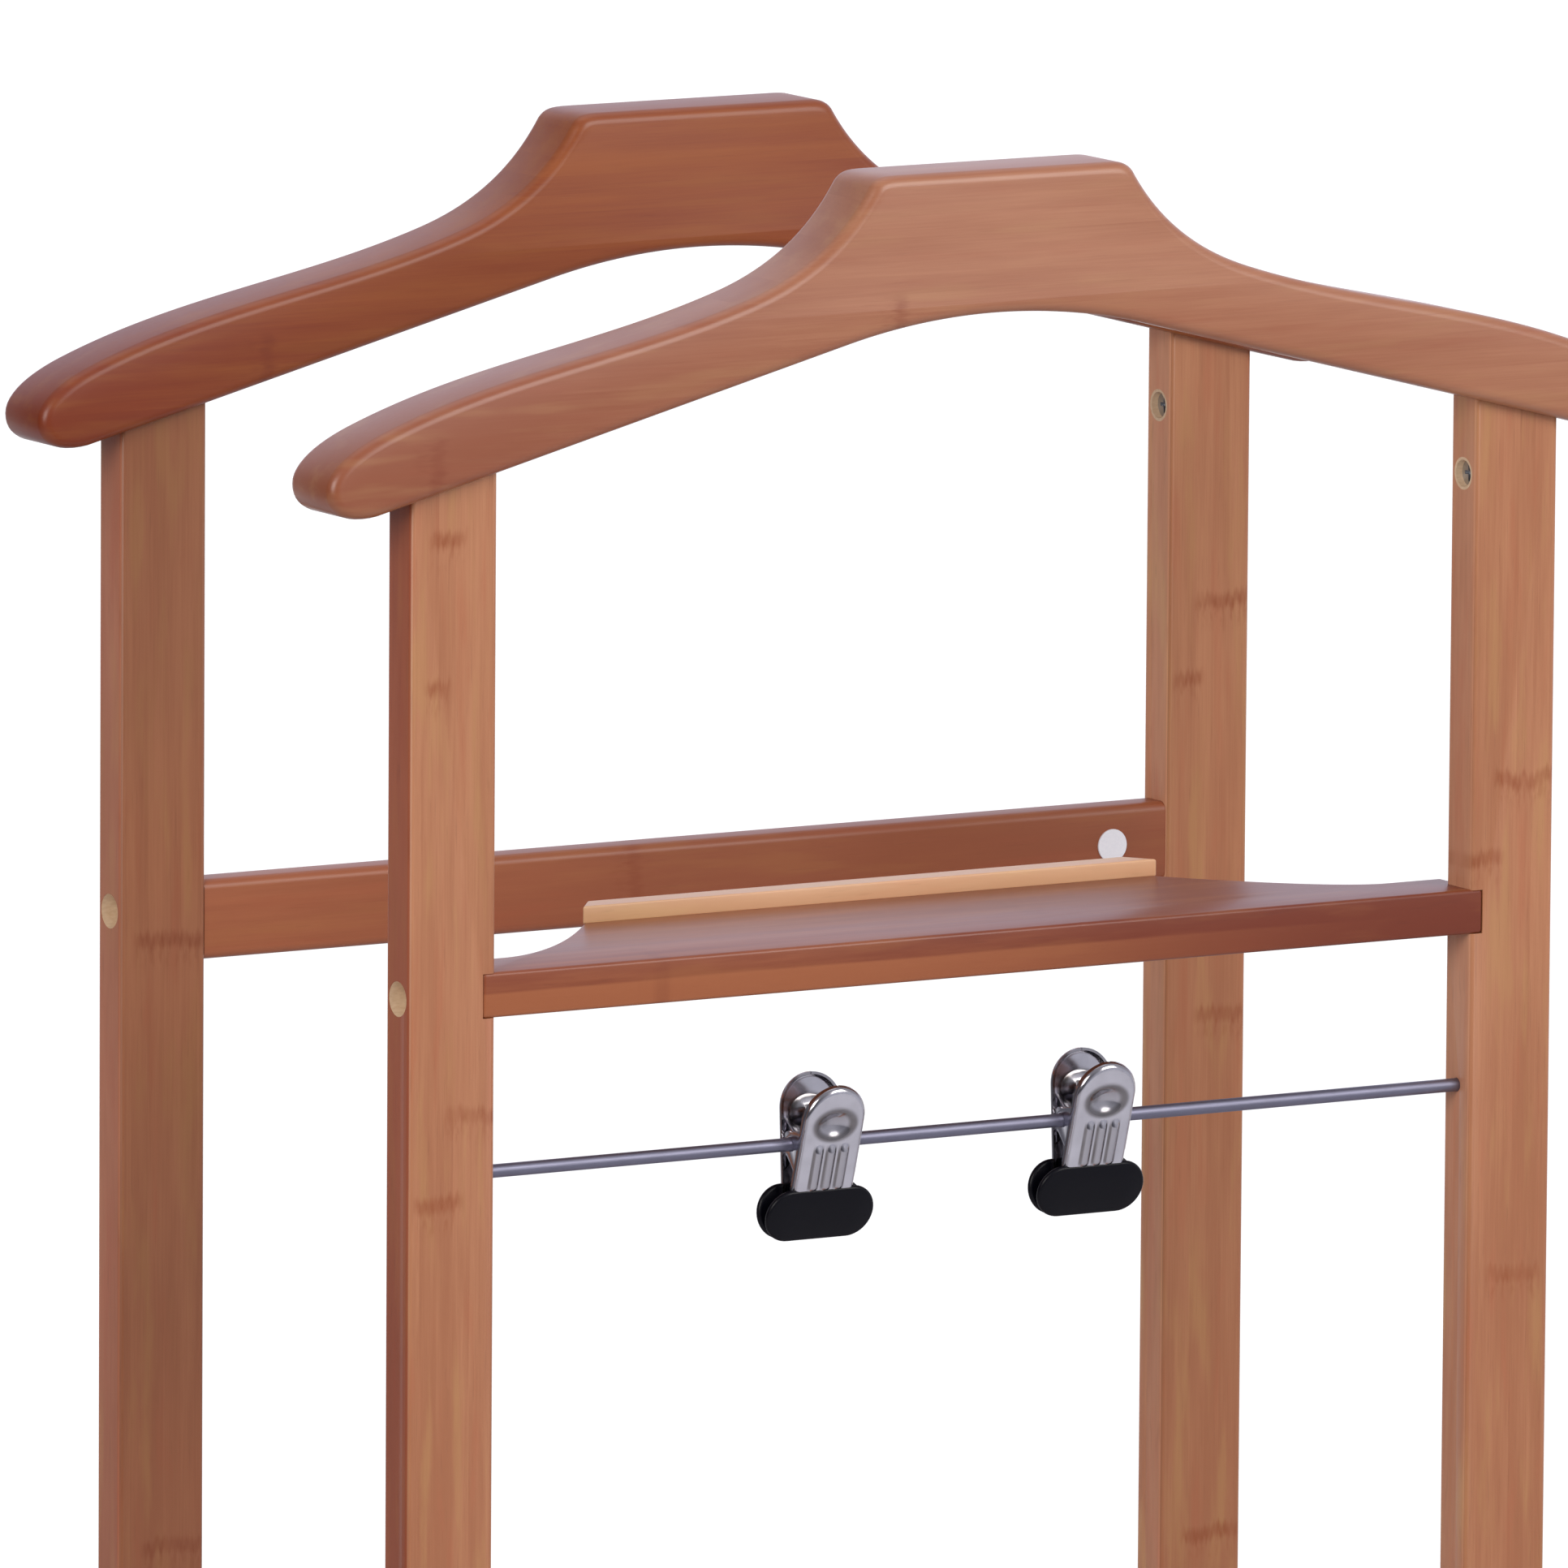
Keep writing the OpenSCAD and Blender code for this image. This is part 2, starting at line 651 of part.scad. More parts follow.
front_hanger();
rear_hanger();
front_left_post();
front_right_post();
rear_left_post();
rear_right_post();
tray_board();
tray_lip();
rear_rail();
round_label();
trouser_rod();
left_foot();
right_foot();
front_lower_rail();
rear_lower_rail();
shoe_slat(0);  // shoe_slat_1
shoe_slat(1);  // shoe_slat_2
shoe_slat(2);  // shoe_slat_3
shoe_slat(3);  // shoe_slat_4
shoe_slat(4);  // shoe_slat_5
shoe_slat(5);  // shoe_slat_6
foot_pads();
hanger_dowels();
foot_dowels();
barrel_nuts();
hanger_bolts();
tray_screws();
rear_rail_screws();
lower_rail_screws();
slat_screws();
left_clip_sleeve();
left_clip_rear_lever();
left_clip_front_lever();
left_clip_rear_jaw();
left_clip_front_jaw();
left_clip_spring();
left_clip_spring_leg();
right_clip_sleeve();
right_clip_rear_lever();
right_clip_front_lever();
right_clip_rear_jaw();
right_clip_front_jaw();
right_clip_spring();
right_clip_spring_leg();
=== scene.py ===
# %% [markdown]
# # A double valet stand in lacquered bamboo
# The stand is two light frames. Each one is a wooden coat hanger on two posts. A small tray and a
# trouser rod with two sprung clips join the front posts, a rail joins the rear posts, and a pair of foot
# beams with a slatted shoe shelf carries it all. The sizes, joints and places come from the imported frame.
# This script adds the finish: eased edges, stamped chrome, dipped vinyl, wire springs and stained bamboo.

# %% Load the frame
import math
import random

import bmesh
import bpy
from mathutils import Matrix, Vector


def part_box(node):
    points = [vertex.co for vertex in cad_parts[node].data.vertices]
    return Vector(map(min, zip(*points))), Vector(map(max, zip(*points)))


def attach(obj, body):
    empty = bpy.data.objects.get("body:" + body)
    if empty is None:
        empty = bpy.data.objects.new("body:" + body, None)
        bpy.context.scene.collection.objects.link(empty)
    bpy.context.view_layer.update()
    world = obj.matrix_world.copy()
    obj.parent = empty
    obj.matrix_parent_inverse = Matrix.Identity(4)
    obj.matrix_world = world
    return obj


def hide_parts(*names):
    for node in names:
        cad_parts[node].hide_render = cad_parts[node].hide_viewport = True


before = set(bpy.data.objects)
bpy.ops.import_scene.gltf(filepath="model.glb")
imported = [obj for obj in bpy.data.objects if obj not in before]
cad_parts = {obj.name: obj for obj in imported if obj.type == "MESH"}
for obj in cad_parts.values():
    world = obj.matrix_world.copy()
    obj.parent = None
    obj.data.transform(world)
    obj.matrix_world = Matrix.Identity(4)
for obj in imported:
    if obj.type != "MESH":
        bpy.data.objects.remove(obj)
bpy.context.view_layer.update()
print("the frame has", len(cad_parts), "nodes")

# %% [markdown]
# ## Sizes
# Every length is in metres, and MM keeps them readable. The places are read from the frame's own boxes,
# so the pieces made here sit exactly where the design has them.

# %% Sizes read from the frame
MM = 0.001

hanger_low, hanger_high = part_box("front_hanger")
post_low, post_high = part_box("front_right_post")
rail_low, rail_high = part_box("rear_rail")
tray_low, tray_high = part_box("tray_board")
lip_low, lip_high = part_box("tray_lip")

hanger_top = hanger_high.z
hanger_half = hanger_high.x
hanger_t = hanger_high.y - hanger_low.y
frame_y = -(hanger_low.y + hanger_high.y) / 2
post_w = post_high.x - post_low.x
inner_x = post_low.x
outer_x = post_high.x
print("hanger", round(2 * hanger_half / MM), "mm long, posts", round(post_w / MM), "mm wide")

# %% [markdown]
# ## Small workshop helpers
# A piece is a mesh whose points are already in their place, on an object that stays at the origin. That
# keeps every Object-coordinate pattern still, and it lets the piece ride on a body of the frame. A few
# helpers do the work that most pieces need: make the object, ease its sharp edges, shade it smooth except
# where an edge is really sharp, and hand it to its body.


# %% Making and finishing a piece
def new_piece(name, mesh_maker):
    """An object called name, whose mesh is what mesh_maker leaves in a new bmesh."""
    mesh = bpy.data.meshes.new(name)
    work = bmesh.new()
    mesh_maker(work)
    bmesh.ops.recalc_face_normals(work, faces=work.faces)
    work.to_mesh(mesh)
    work.free()
    piece = bpy.data.objects.new(name, mesh)
    bpy.context.scene.collection.objects.link(piece)
    return piece


def draw_out(work, ring, way):
    """Adds a flat face on a ring of points and draws it out along a way, into a closed block."""
    face = work.faces.new([work.verts.new(spot) for spot in ring])
    grown = bmesh.ops.extrude_face_region(work, geom=[face])
    moved = [v for v in grown["geom"] if isinstance(v, bmesh.types.BMVert)]
    bmesh.ops.translate(work, verts=moved, vec=Vector(way))


def freeze(piece):
    """Replaces the piece's mesh by what its modifiers make, and removes the modifiers."""
    bpy.context.view_layer.update()
    seen = piece.evaluated_get(bpy.context.evaluated_depsgraph_get())
    finished = bpy.data.meshes.new_from_object(seen)
    piece.modifiers.clear()
    piece.data = finished
    return piece


def shade(piece, sharp_angle=35):
    """Smooth shading, with edges steeper than sharp_angle degrees kept crisp."""
    mesh = piece.data
    mesh.polygons.foreach_set("use_smooth", [True] * len(mesh.polygons))
    mesh.set_sharp_from_angle(angle=math.radians(sharp_angle))
    return piece


def ease(piece, width, segments=3, angle=40):
    """Rounds the piece's sharp edges to a width, as sandpaper and lacquer leave them."""
    bevel = piece.modifiers.new("ease", "BEVEL")
    bevel.width = width
    bevel.segments = segments
    bevel.limit_method = "ANGLE"
    bevel.angle_limit = math.radians(angle)
    bevel.harden_normals = False
    return freeze(piece)


def set_out(piece, body, slot, material, *nodes):
    """Gives the piece its material and its body, and hides the nodes of the frame that it stands for. slot
    is not used.
    """
    piece.data.materials.clear()
    piece.data.materials.append(material)
    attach(piece, body)
    if nodes:
        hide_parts(*nodes)
    print(piece.name, "has", len(piece.data.polygons), "faces")
    return piece


def eased_copy(node, name, width, segments=2):
    """A copy of a node of the frame with its loose triangles joined and its sharp edges eased."""
    piece = bpy.data.objects.new(name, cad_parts[node].data.copy())
    bpy.context.scene.collection.objects.link(piece)
    work = bmesh.new()
    work.from_mesh(piece.data)
    bmesh.ops.remove_doubles(work, verts=work.verts, dist=0.002 * MM)
    bmesh.ops.dissolve_limit(work, angle_limit=math.radians(0.4), verts=work.verts, edges=work.edges)
    work.to_mesh(piece.data)
    work.free()
    return shade(ease(piece, width, segments), 25)


# %% [markdown]
# ## A bench for shader nodes
# Shader maths reads best as plain sums. `Wire` wraps one output socket, so `grain * 0.5 + 0.2` adds the
# Math nodes by itself. `Bench` holds the material that is being mixed. Its `add` method takes any other
# node: its type, its settings, then the values or wires of its sockets.


# %% The Wire and Bench classes
class Wire:
    """An output socket on which sums can be written."""

    def __init__(self, bench, socket):
        self.bench = bench
        self.socket = socket

    def sum_with(self, operation, *others):
        values = enumerate([self, *others])
        return self.bench.add("ShaderNodeMath", {"operation": operation}, dict(values))

    def __add__(self, other):
        return self.sum_with("ADD", other)

    def __sub__(self, other):
        return self.sum_with("SUBTRACT", other)

    def __mul__(self, other):
        return self.sum_with("MULTIPLY", other)

    def __truediv__(self, other):
        return self.sum_with("DIVIDE", other)

    def __pow__(self, other):
        return self.sum_with("POWER", other)

    def __abs__(self):
        return self.sum_with("ABSOLUTE")

    def __lt__(self, other):
        return self.sum_with("LESS_THAN", other)

    def __gt__(self, other):
        return self.sum_with("GREATER_THAN", other)

    def floor(self):
        return self.sum_with("FLOOR")

    def ramp(self, low, high):
        """0 below low, 1 above high, and a smooth rise between them. low may be the greater."""
        return self.bench.add("ShaderNodeMapRange", {"interpolation_type": "SMOOTHSTEP"},
                              {0: self, 1: low, 2: high, 3: 0.0, 4: 1.0})


class Bench:
    """A material's node tree and its Principled shader, or the tree of the surroundings."""

    def __init__(self, name, world=None, **sockets):
        self.material = world or bpy.data.materials.new(name)
        self.material.use_nodes = True
        self.tree = self.material.node_tree
        wanted = "BACKGROUND" if world else "BSDF_PRINCIPLED"
        self.shader = next(n for n in self.tree.nodes if n.type == wanted)
        for socket, value in sockets.items():
            self.finish(socket.replace("_", " ").title().replace("Ior", "IOR"), value)

    def feed(self, socket, value):
        if isinstance(value, Wire):
            self.tree.links.new(value.socket, socket)
        else:
            socket.default_value = value

    def add(self, kind, settings=None, values=None, output=0):
        """A node of any kind: settings first, then its input sockets by name or number."""
        node = self.tree.nodes.new(kind)
        for setting, value in (settings or {}).items():
            setattr(node, setting, value)
        for socket, value in (values or {}).items():
            self.feed(node.inputs[socket], value)
        return Wire(self, node.outputs[output])

    def finish(self, socket, value):
        self.feed(self.shader.inputs[socket], value)

    def place(self):
        """The three Object coordinates, in metres."""
        spot = self.add("ShaderNodeTexCoord", output="Object")
        parts = self.add("ShaderNodeSeparateXYZ", values={0: spot})
        return [Wire(self, parts.socket.node.outputs[i]) for i in range(3)]

    def vector(self, x, y, z):
        return self.add("ShaderNodeCombineXYZ", values={0: x, 1: y, 2: z})

    def noise(self, vector, scale=1.0, detail=2.0, roughness=0.5):
        values = {"Vector": vector, "Scale": scale, "Detail": detail, "Roughness": roughness}
        return self.add("ShaderNodeTexNoise", values=values)

    def speckle(self, x_scale, y_scale, z_scale, detail=2.0):
        """Noise over the Object coordinates, with its own scale along each axis."""
        x, y, z = self.place()
        return self.noise(self.vector(x * x_scale, y * y_scale, z * z_scale), detail=detail)

    def mix(self, share, below, above):
        """Two colours mixed: below where share is 0, above where it is 1."""
        node = self.tree.nodes.new("ShaderNodeMix")
        node.data_type = "RGBA"
        self.feed(node.inputs[0], share)
        for socket, colour in ((node.inputs[6], below), (node.inputs[7], above)):
            self.feed(socket, colour if isinstance(colour, Wire) else (*colour, 1.0))
        return Wire(self, node.outputs[2])

    def tint(self, colour, factors):
        """A colour multiplied by three factors."""
        return self.add("ShaderNodeVectorMath", {"operation": "MULTIPLY"}, {0: colour, 1: factors})

    def bump(self, height, distance, strength=1.0):
        values = {"Strength": strength, "Distance": distance, "Height": height}
        self.finish("Normal", self.add("ShaderNodeBump", values=values))


# %% [markdown]
# ## Stained bamboo
# Laminated bamboo is glued from narrow strips of cane. Each strip has its own tone, long fibres, and
# knots where the cane had its joints: a ragged dark line that breaks up into short dashes on one side. The
# stand is stained a warm brown and lacquered satin, so a thin clear coat lies over a softer base.
# `bamboo` mixes this for any piece. It is told which way the cane runs, which way the strips lie side by
# side, and where the knots are.

# %% The bamboo recipe
STRIP = 5.6 * MM


def knot_mask(bench, along, across, knots):
    """Adds up the knots: each is a height along the cane and the stretch across it that it covers."""
    wobble = bench.noise(bench.vector(along * 8, across * 60, 0.0), detail=1.0)
    ragged = bench.noise(bench.vector(along * 30, across * 800, 2.0), detail=3.0)
    dashes = bench.noise(bench.vector(along * 150, across * 640, 5.0), detail=3.0)
    shift = (wobble - 0.5) * (6 * MM) + (ragged - 0.5) * (7 * MM)
    broken = dashes.ramp(0.42, 0.66)
    total = 0.0
    for height, low, high in knots:
        distance = along - height + shift
        line = abs(distance).ramp(3.6 * MM, 0.5 * MM)
        tail = abs(distance + 3 * MM).ramp(7.5 * MM, 1.5 * MM) * broken
        inside = across.ramp(low - 2.5 * MM, low + 1.5 * MM)
        inside = inside * across.ramp(high + 2.5 * MM, high - 1.5 * MM)
        total = (line * 0.62 + tail * 0.42) * inside + total
    return total


def bamboo(name, cane, side, light, dark, knots=(), contrast=1.0, roughness=0.45, coat=0.4,
           lower_tone=None, raw=(), fade=None, flank=None, knot_strength=1.0):
    """A lacquered bamboo: cane and side are 0, 1 or 2 for X, Y or Z.

    lower_tone is a level and the colour below it. raw lists the drilled holes where the cane is bare. fade
    is two places along the cane and how much darker the first one is. flank is the place of the face
    towards -X and what its colour is multiplied by: painted light on that face, darker for shade and
    lighter for sheen.
    """
    bench = Bench(name, coat_weight=coat, coat_roughness=0.33, specular_ior_level=0.25)
    place = bench.place()
    along, across = place[cane], place[side]
    depth = place[3 - cane - side]

    strip = (across / STRIP + 0.37).floor()
    strip_tone = bench.add("ShaderNodeTexWhiteNoise", {"noise_dimensions": "1D"}, {"W": strip})
    shift = strip * 0.731
    broad = bench.noise(bench.vector(along * 14 + shift, across * 170, depth * 90), detail=3.0)
    fine = bench.noise(bench.vector(along * 34, across * 1500, depth * 600), detail=3.0, roughness=0.6)
    drift = bench.noise(bench.vector(along * 9 + 3.1, across * 28, depth * 28), detail=2.0)
    tone = (broad - 0.5) * 1.1 + (fine - 0.5) * 0.7 + (strip_tone - 0.5) * 0.22 + (drift - 0.5) * 0.8
    tone = tone * contrast + 0.5
    if fade:
        # A slow change of tone along the cane, from dark at the first place to light at the second
        tone = tone - along.ramp(fade[1], fade[0]) * fade[2]
    colour = bench.mix(tone.ramp(-0.1, 1.1), dark, light)

    # Patches that lean to olive and to rose, as the stain takes differently from fibre to fibre
    hue = bench.noise(bench.vector(along * 20 + 7.7, across * 170, depth * 140), detail=3.0)
    olive = [light[0] * 0.93, light[1] * 1.08, light[2] * 0.86]
    rose = [dark[0] * 1.14, dark[1] * 0.94, dark[2] * 0.95]
    colour = bench.mix(hue.ramp(0.5, 0.72) * (0.5 * contrast), colour, olive)
    colour = bench.mix(hue.ramp(0.46, 0.28) * (0.4 * contrast), colour, rose)

    # Pores: thin dark dashes along the cane
    pore = bench.noise(bench.vector(along * 75, across * 2100, depth * 900), detail=1.0)
    pores = pore.ramp(0.63, 0.8)
    colour = bench.mix(pores * (0.22 * contrast), colour, [c * 0.55 for c in dark])

    if lower_tone:
        edge = bench.noise(bench.vector(along * 9, across * 30, 0.0), detail=2.0)
        level = depth + (edge - 0.5) * (1.6 * MM)
        below = level.ramp(lower_tone[0] + 0.5 * MM, lower_tone[0] - 0.5 * MM)
        colour = bench.mix(below * along.ramp(0.16, -0.06) * 0.85, colour, lower_tone[1])

    if knots:
        band = knot_mask(bench, along, across, knots)
        cloud = bench.noise(bench.vector(along * 60, across * 90, depth * 90 + 4.3), detail=2.0)
        mark = band * (cloud.ramp(0.25, 0.55) * 0.7 + 0.3) * knot_strength
        colour = bench.mix(mark, colour, [dark[0] * 0.78, dark[1] * 0.54, dark[2] * 0.34])
    if flank:
        # Painted light on the face towards -X: shade where the factors darken it, a bluish sheen where they
        # lighten it
        colour = bench.mix(place[0] < flank[0], colour, bench.tint(colour, flank[1]))

    rough = (fine - 0.5) * 0.14 + roughness
    for reach, centre_a, centre_b, radius in raw:
        # Unstained wall of a drilled hole along X: near its axis and inside the wood
        y, z = place[1], place[2]
        off_axis = ((y - centre_a) ** 2 + (z - centre_b) ** 2) ** 0.5
        inside = (off_axis < radius) * (abs(place[0]) < reach[1]) * (abs(place[0]) > reach[0])
        fibre_cut = bench.noise(bench.vector(place[0] * 500, y * 1200, z * 1200), detail=2.0)
        cream = bench.mix(fibre_cut, (0.6, 0.4, 0.23), (0.85, 0.66, 0.45))
        colour = bench.mix(inside, colour, cream)
        rough = rough + inside * 0.3

    bench.finish("Base Color", colour)
    bench.finish("Roughness", rough)
    bench.bump(fine * 0.6 + broad * 0.5 - pores * 0.4, 0.05 * MM, 0.45)
    return bench.material


# %% [markdown]
# ## Metals, vinyl and the rest
# The clips are bright chrome with faint smudges, and with shade and dark reflections painted into the
# pressed pattern, the rims and the folds. The rod is satin plated steel drawn lengthways, and the screws
# are zinc. The jaws are dipped in black vinyl that sets glossy, with a soft orange-peel surface. Each
# recipe is a Principled shader whose colour and roughness follow a noise over the piece's own coordinates,
# so that no piece needs to be unwrapped.


# %% Metal, vinyl and label recipes
def chrome(name):
    bench = Bench(name, metallic=1.0)
    smudge = bench.speckle(160, 160, 160, 3.0)
    # The levers' layer of painted shade and dark reflections, which darkens the chrome towards brown
    painted_shade = bench.add("ShaderNodeAttribute", {"attribute_name": "painted_shade"}, output="Fac")
    clean = bench.mix(smudge, (0.53, 0.52, 0.56), (0.76, 0.75, 0.81))
    bench.finish("Base Color", bench.mix(painted_shade * (smudge * 0.6 + 0.7), clean, (0.1, 0.085, 0.075)))
    bench.finish("Roughness", smudge * 0.12 + 0.1)
    bench.bump(bench.speckle(120, 120, 120), 0.02 * MM, 0.25)
    return bench.material


def drawn_steel(name, light, dark, roughness):
    """Steel with fine drawing marks along X."""
    bench = Bench(name, metallic=1.0)
    marks = bench.speckle(40, 4000, 4000)
    cloud = bench.speckle(90, 300, 300)
    bench.finish("Base Color", bench.mix(cloud, dark, light))
    bench.finish("Roughness", marks * 0.16 + roughness)
    bench.bump(marks, 0.01 * MM, 0.6)
    return bench.material


def vinyl(name, base, roughness, coat):
    bench = Bench(name, coat_weight=coat, coat_roughness=0.22, specular_ior_level=0.12)
    peel = bench.speckle(420, 420, 420)
    dust = bench.speckle(90, 90, 90, 4.0)
    bench.finish("Base Color", bench.mix(dust, base, [c * 1.6 for c in base]))
    bench.finish("Roughness", dust * 0.15 + roughness)
    bench.bump(peel, 0.03 * MM, 0.6)
    return bench.material


def paper_white(name):
    bench = Bench(name)
    tooth = bench.speckle(1500, 1500, 1500)
    bench.finish("Base Color", bench.mix(tooth, (0.78, 0.78, 0.82), (0.88, 0.88, 0.9)))
    bench.finish("Roughness", tooth * 0.2 + 0.4)
    return bench.material


clip_chrome = chrome("clip_chrome")
rod_steel = drawn_steel("rod_satin_steel", (0.25, 0.25, 0.33), (0.2, 0.2, 0.26), 0.42)
zinc = drawn_steel("zinc_plate", (0.62, 0.64, 0.68), (0.45, 0.47, 0.5), 0.24)
spring_wire = drawn_steel("spring_wire", (0.72, 0.72, 0.73), (0.55, 0.55, 0.57), 0.2)
jaw_vinyl = vinyl("jaw_vinyl", (0.001, 0.001, 0.003), 0.36, 0.14)
pad_rubber = vinyl("pad_rubber", (0.03, 0.03, 0.03), 0.6, 0.0)
label_white = paper_white("label_white")
print("metals, vinyl and paper:", clip_chrome.name, rod_steel.name, zinc.name, spring_wire.name,
      jaw_vinyl.name, pad_rubber.name, label_white.name)

# %% [markdown]
# ## The hangers
# A hanger is sawn from a thick board and rounded over on both faces. Its outline follows a rule: a flat
# top, a hollow neck, an arm that bows a little, a blunt tip, and a straight underside that meets an arch.
# Cubic curves and one arc draw the right half, and the left half is its mirror image. The outline becomes
# a plate, and a bevel on the two outer edges gives the roundover that catches the light.

# %% Outline of a hanger
HALF_FLAT = 42.3 * MM
WEB = 42.5 * MM
ARM_DEPTH = 24 * MM
ARM_SLOPE = math.radians(14.4)
ARCH_R = 207 * MM
ROUNDOVER = 3.4 * MM

ARCH_X = ARCH_R * math.sin(ARM_SLOPE)
ARCH_SAG = ARCH_R * (1 - math.cos(ARM_SLOPE))
print("the arch under a hanger is", round(2 * ARCH_X / MM), "mm wide")


def underside(x):
    """Height of the straight underside below the flat top, at a distance from the middle."""
    return -WEB - ARCH_SAG - (abs(x) - ARCH_X) * math.tan(ARM_SLOPE)


def cubic(a, b, c, d, steps):
    """Points along a cubic curve from a to d with handles b and c, without the first point."""
    points = []
    for i in range(1, steps + 1):
        t = i / steps
        u = 1 - t
        points.append(u ** 3 * a + 3 * u * u * t * b + 3 * u * t * t * c + t ** 3 * d)
    return points


def hanger_outline():
    """The whole outline as flat points: X along the hanger, Y for the height from the flat top."""
    neck_foot = Vector((HALF_FLAT + 43 * MM, underside(HALF_FLAT + 43 * MM) + ARM_DEPTH))
    end_x = hanger_half - 18 * MM
    arm_end = Vector((end_x, underside(end_x) + ARM_DEPTH - 0.6 * MM))
    tip = Vector((hanger_half, arm_end.y - 15.6 * MM))
    heel_x = hanger_half - 16.5 * MM
    heel = Vector((heel_x, underside(heel_x)))
    run = (arm_end.x - neck_foot.x) / 3
    fall = run * math.tan(ARM_SLOPE)
    shoulder = Vector((HALF_FLAT + 2.5 * MM, -3 * MM))
    start = Vector((HALF_FLAT - 7 * MM, 0))
    half = [start]
    half += cubic(start, start + Vector((5 * MM, 0)),
                  Vector((HALF_FLAT + 0.5 * MM, -0.4 * MM)), shoulder, 8)
    half += cubic(shoulder, shoulder + Vector((7 * MM, -11.5 * MM)),
                  neck_foot + Vector((-22 * MM, 7.2 * MM)), neck_foot, 22)
    half += cubic(neck_foot, neck_foot + Vector((run, -fall - 2.9 * MM)),
                  arm_end + Vector((-run, fall + 6 * MM)), arm_end, 30)
    half += cubic(arm_end, arm_end + Vector((9 * MM, -3.7 * MM)), tip + Vector((0, 6.5 * MM)), tip, 12)
    half += cubic(tip, tip + Vector((0, -6.5 * MM)), heel + Vector((10 * MM, -1.8 * MM)), heel, 12)
    for i in range(17):
        angle = ARM_SLOPE * (1 - i / 16)
        half.append(Vector((ARCH_R * math.sin(angle), -WEB - ARCH_R * (1 - math.cos(angle)))))
    return half + [Vector((-p.x, p.y)) for p in half[-2::-1]]


# %% Build the hangers
def rounded_board(points, thickness, place, radius, segments):
    """Fills a mesh with a flat outline, given its thickness along Y and round edges on both faces."""

    def make(work):
        front = [place + Vector((p.x, -thickness / 2, p.y)) for p in points]
        draw_out(work, front, (0, thickness, 0))
        rims = [e for e in work.edges if abs(e.verts[0].co.y - e.verts[1].co.y) < thickness / 2]
        bmesh.ops.bevel(work, geom=rims, offset=radius, segments=segments, profile=0.5, affect="EDGES",
                        clamp_overlap=True)

    return make


outline = hanger_outline()
front_hanger = new_piece("front_hanger_board", rounded_board(
    outline, hanger_t, Vector((0, -frame_y, hanger_top)), ROUNDOVER, 5))
rear_hanger = new_piece("rear_hanger_board", rounded_board(
    outline, hanger_t, Vector((0, frame_y, hanger_top)), ROUNDOVER, 5))
front_hanger_wood = bamboo(
    "front_hanger_bamboo", 0, 2, (0.475, 0.212, 0.108), (0.27, 0.074, 0.027),
    contrast=0.45, fade=(-0.25, 0.0, 0.6), knot_strength=0.6, coat=0.8,
    knots=[(-0.036, hanger_top - 0.062, hanger_top - 0.036), (-0.19, hanger_top - 0.1, hanger_top - 0.068),
           (0.205, hanger_top - 0.09, hanger_top - 0.066)])
rear_hanger_wood = bamboo(
    "rear_hanger_bamboo", 0, 2, (0.325, 0.088, 0.016), (0.195, 0.029, 0.004),
    contrast=0.55, fade=(-0.23, -0.1, 0.5), knot_strength=0.5, coat=0.55,
    knots=[(-0.15, hanger_top - 0.09, hanger_top - 0.06), (0.15, hanger_top - 0.075, hanger_top - 0.05)])
set_out(shade(front_hanger, 50), "root", "bamboo_hanger", front_hanger_wood, "front_hanger")
set_out(shade(rear_hanger, 50), "root", "bamboo_hanger", rear_hanger_wood, "rear_hanger")

# %% [markdown]
# ## The posts
# The posts keep the shape that the frame gives them, with their housings, counterbores and barrel-nut
# holes. A copy of each has its triangles joined and its sharp edges eased, so that the rims of the holes
# catch the light. Inside the drilled holes the stain never reached the cane, so it stays cream.

# %% Knots and holes of the posts
POST_LIGHT = (0.5, 0.22, 0.106)
POST_DARK = (0.37, 0.14, 0.062)
COUNTERBORE_R = 5.3 * MM
NUT_R = 4.9 * MM


def drop(distance):
    """Height of a point that is a distance in millimetres below the hangers' flat tops."""
    return hanger_top - distance * MM


# On each post, what the bamboo's colours are multiplied by, then what its face towards -X is multiplied by:
# painted shade on the front left post, and a painted bluish sheen on the other three
POST_TONES = {
    "front_left_post": ((1.0, 1.0, 1.0), (0.76, 0.49, 0.45)),
    "front_right_post": ((1.0, 1.0, 1.0), (1.33, 1.5, 1.8)),
    "rear_left_post": ((0.67, 0.6, 0.54), (1.52, 1.56, 2.0)),
    "rear_right_post": ((0.95, 0.95, 0.92), (1.62, 1.85, 2.3)),
}
# Each knot: its drop below the hangers' tops, then the share of the post's width that it covers
POST_KNOTS = {
    "front_left_post": [(98, 0.25, 0.6), (268, 0.45, 1.0), (293, 0.1, 0.6), (141, 0.2, 0.45)],
    "front_right_post": [(194, 0.3, 1.0), (343, 0.25, 0.85), (218, 0.0, 0.35)],
    "rear_left_post": [(240, 0.2, 1.0), (423, 0.3, 1.0)],
    "rear_right_post": [(162, 0.35, 1.0), (186, 0.1, 0.4), (290, 0.4, 1.0), (451, 0.3, 1.0)],
}
tray_hole_z = (tray_low.z + tray_high.z) / 2
rail_hole_z = (rail_low.z + rail_high.z) / 2 + 4 * MM
lower_low, lower_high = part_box("rear_lower_rail")
lower_hole_z = (lower_low.z + lower_high.z) / 2
nut_low, nut_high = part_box("barrel_nuts")
nut_z = (nut_low.z + nut_high.z) / 2
bore_reach = (outer_x - 20 * MM, outer_x - 0.15 * MM)
nut_reach = (inner_x - 0.1 * MM, inner_x + 14 * MM)
print("the barrel nuts are", round(nut_z / MM), "mm above the floor")


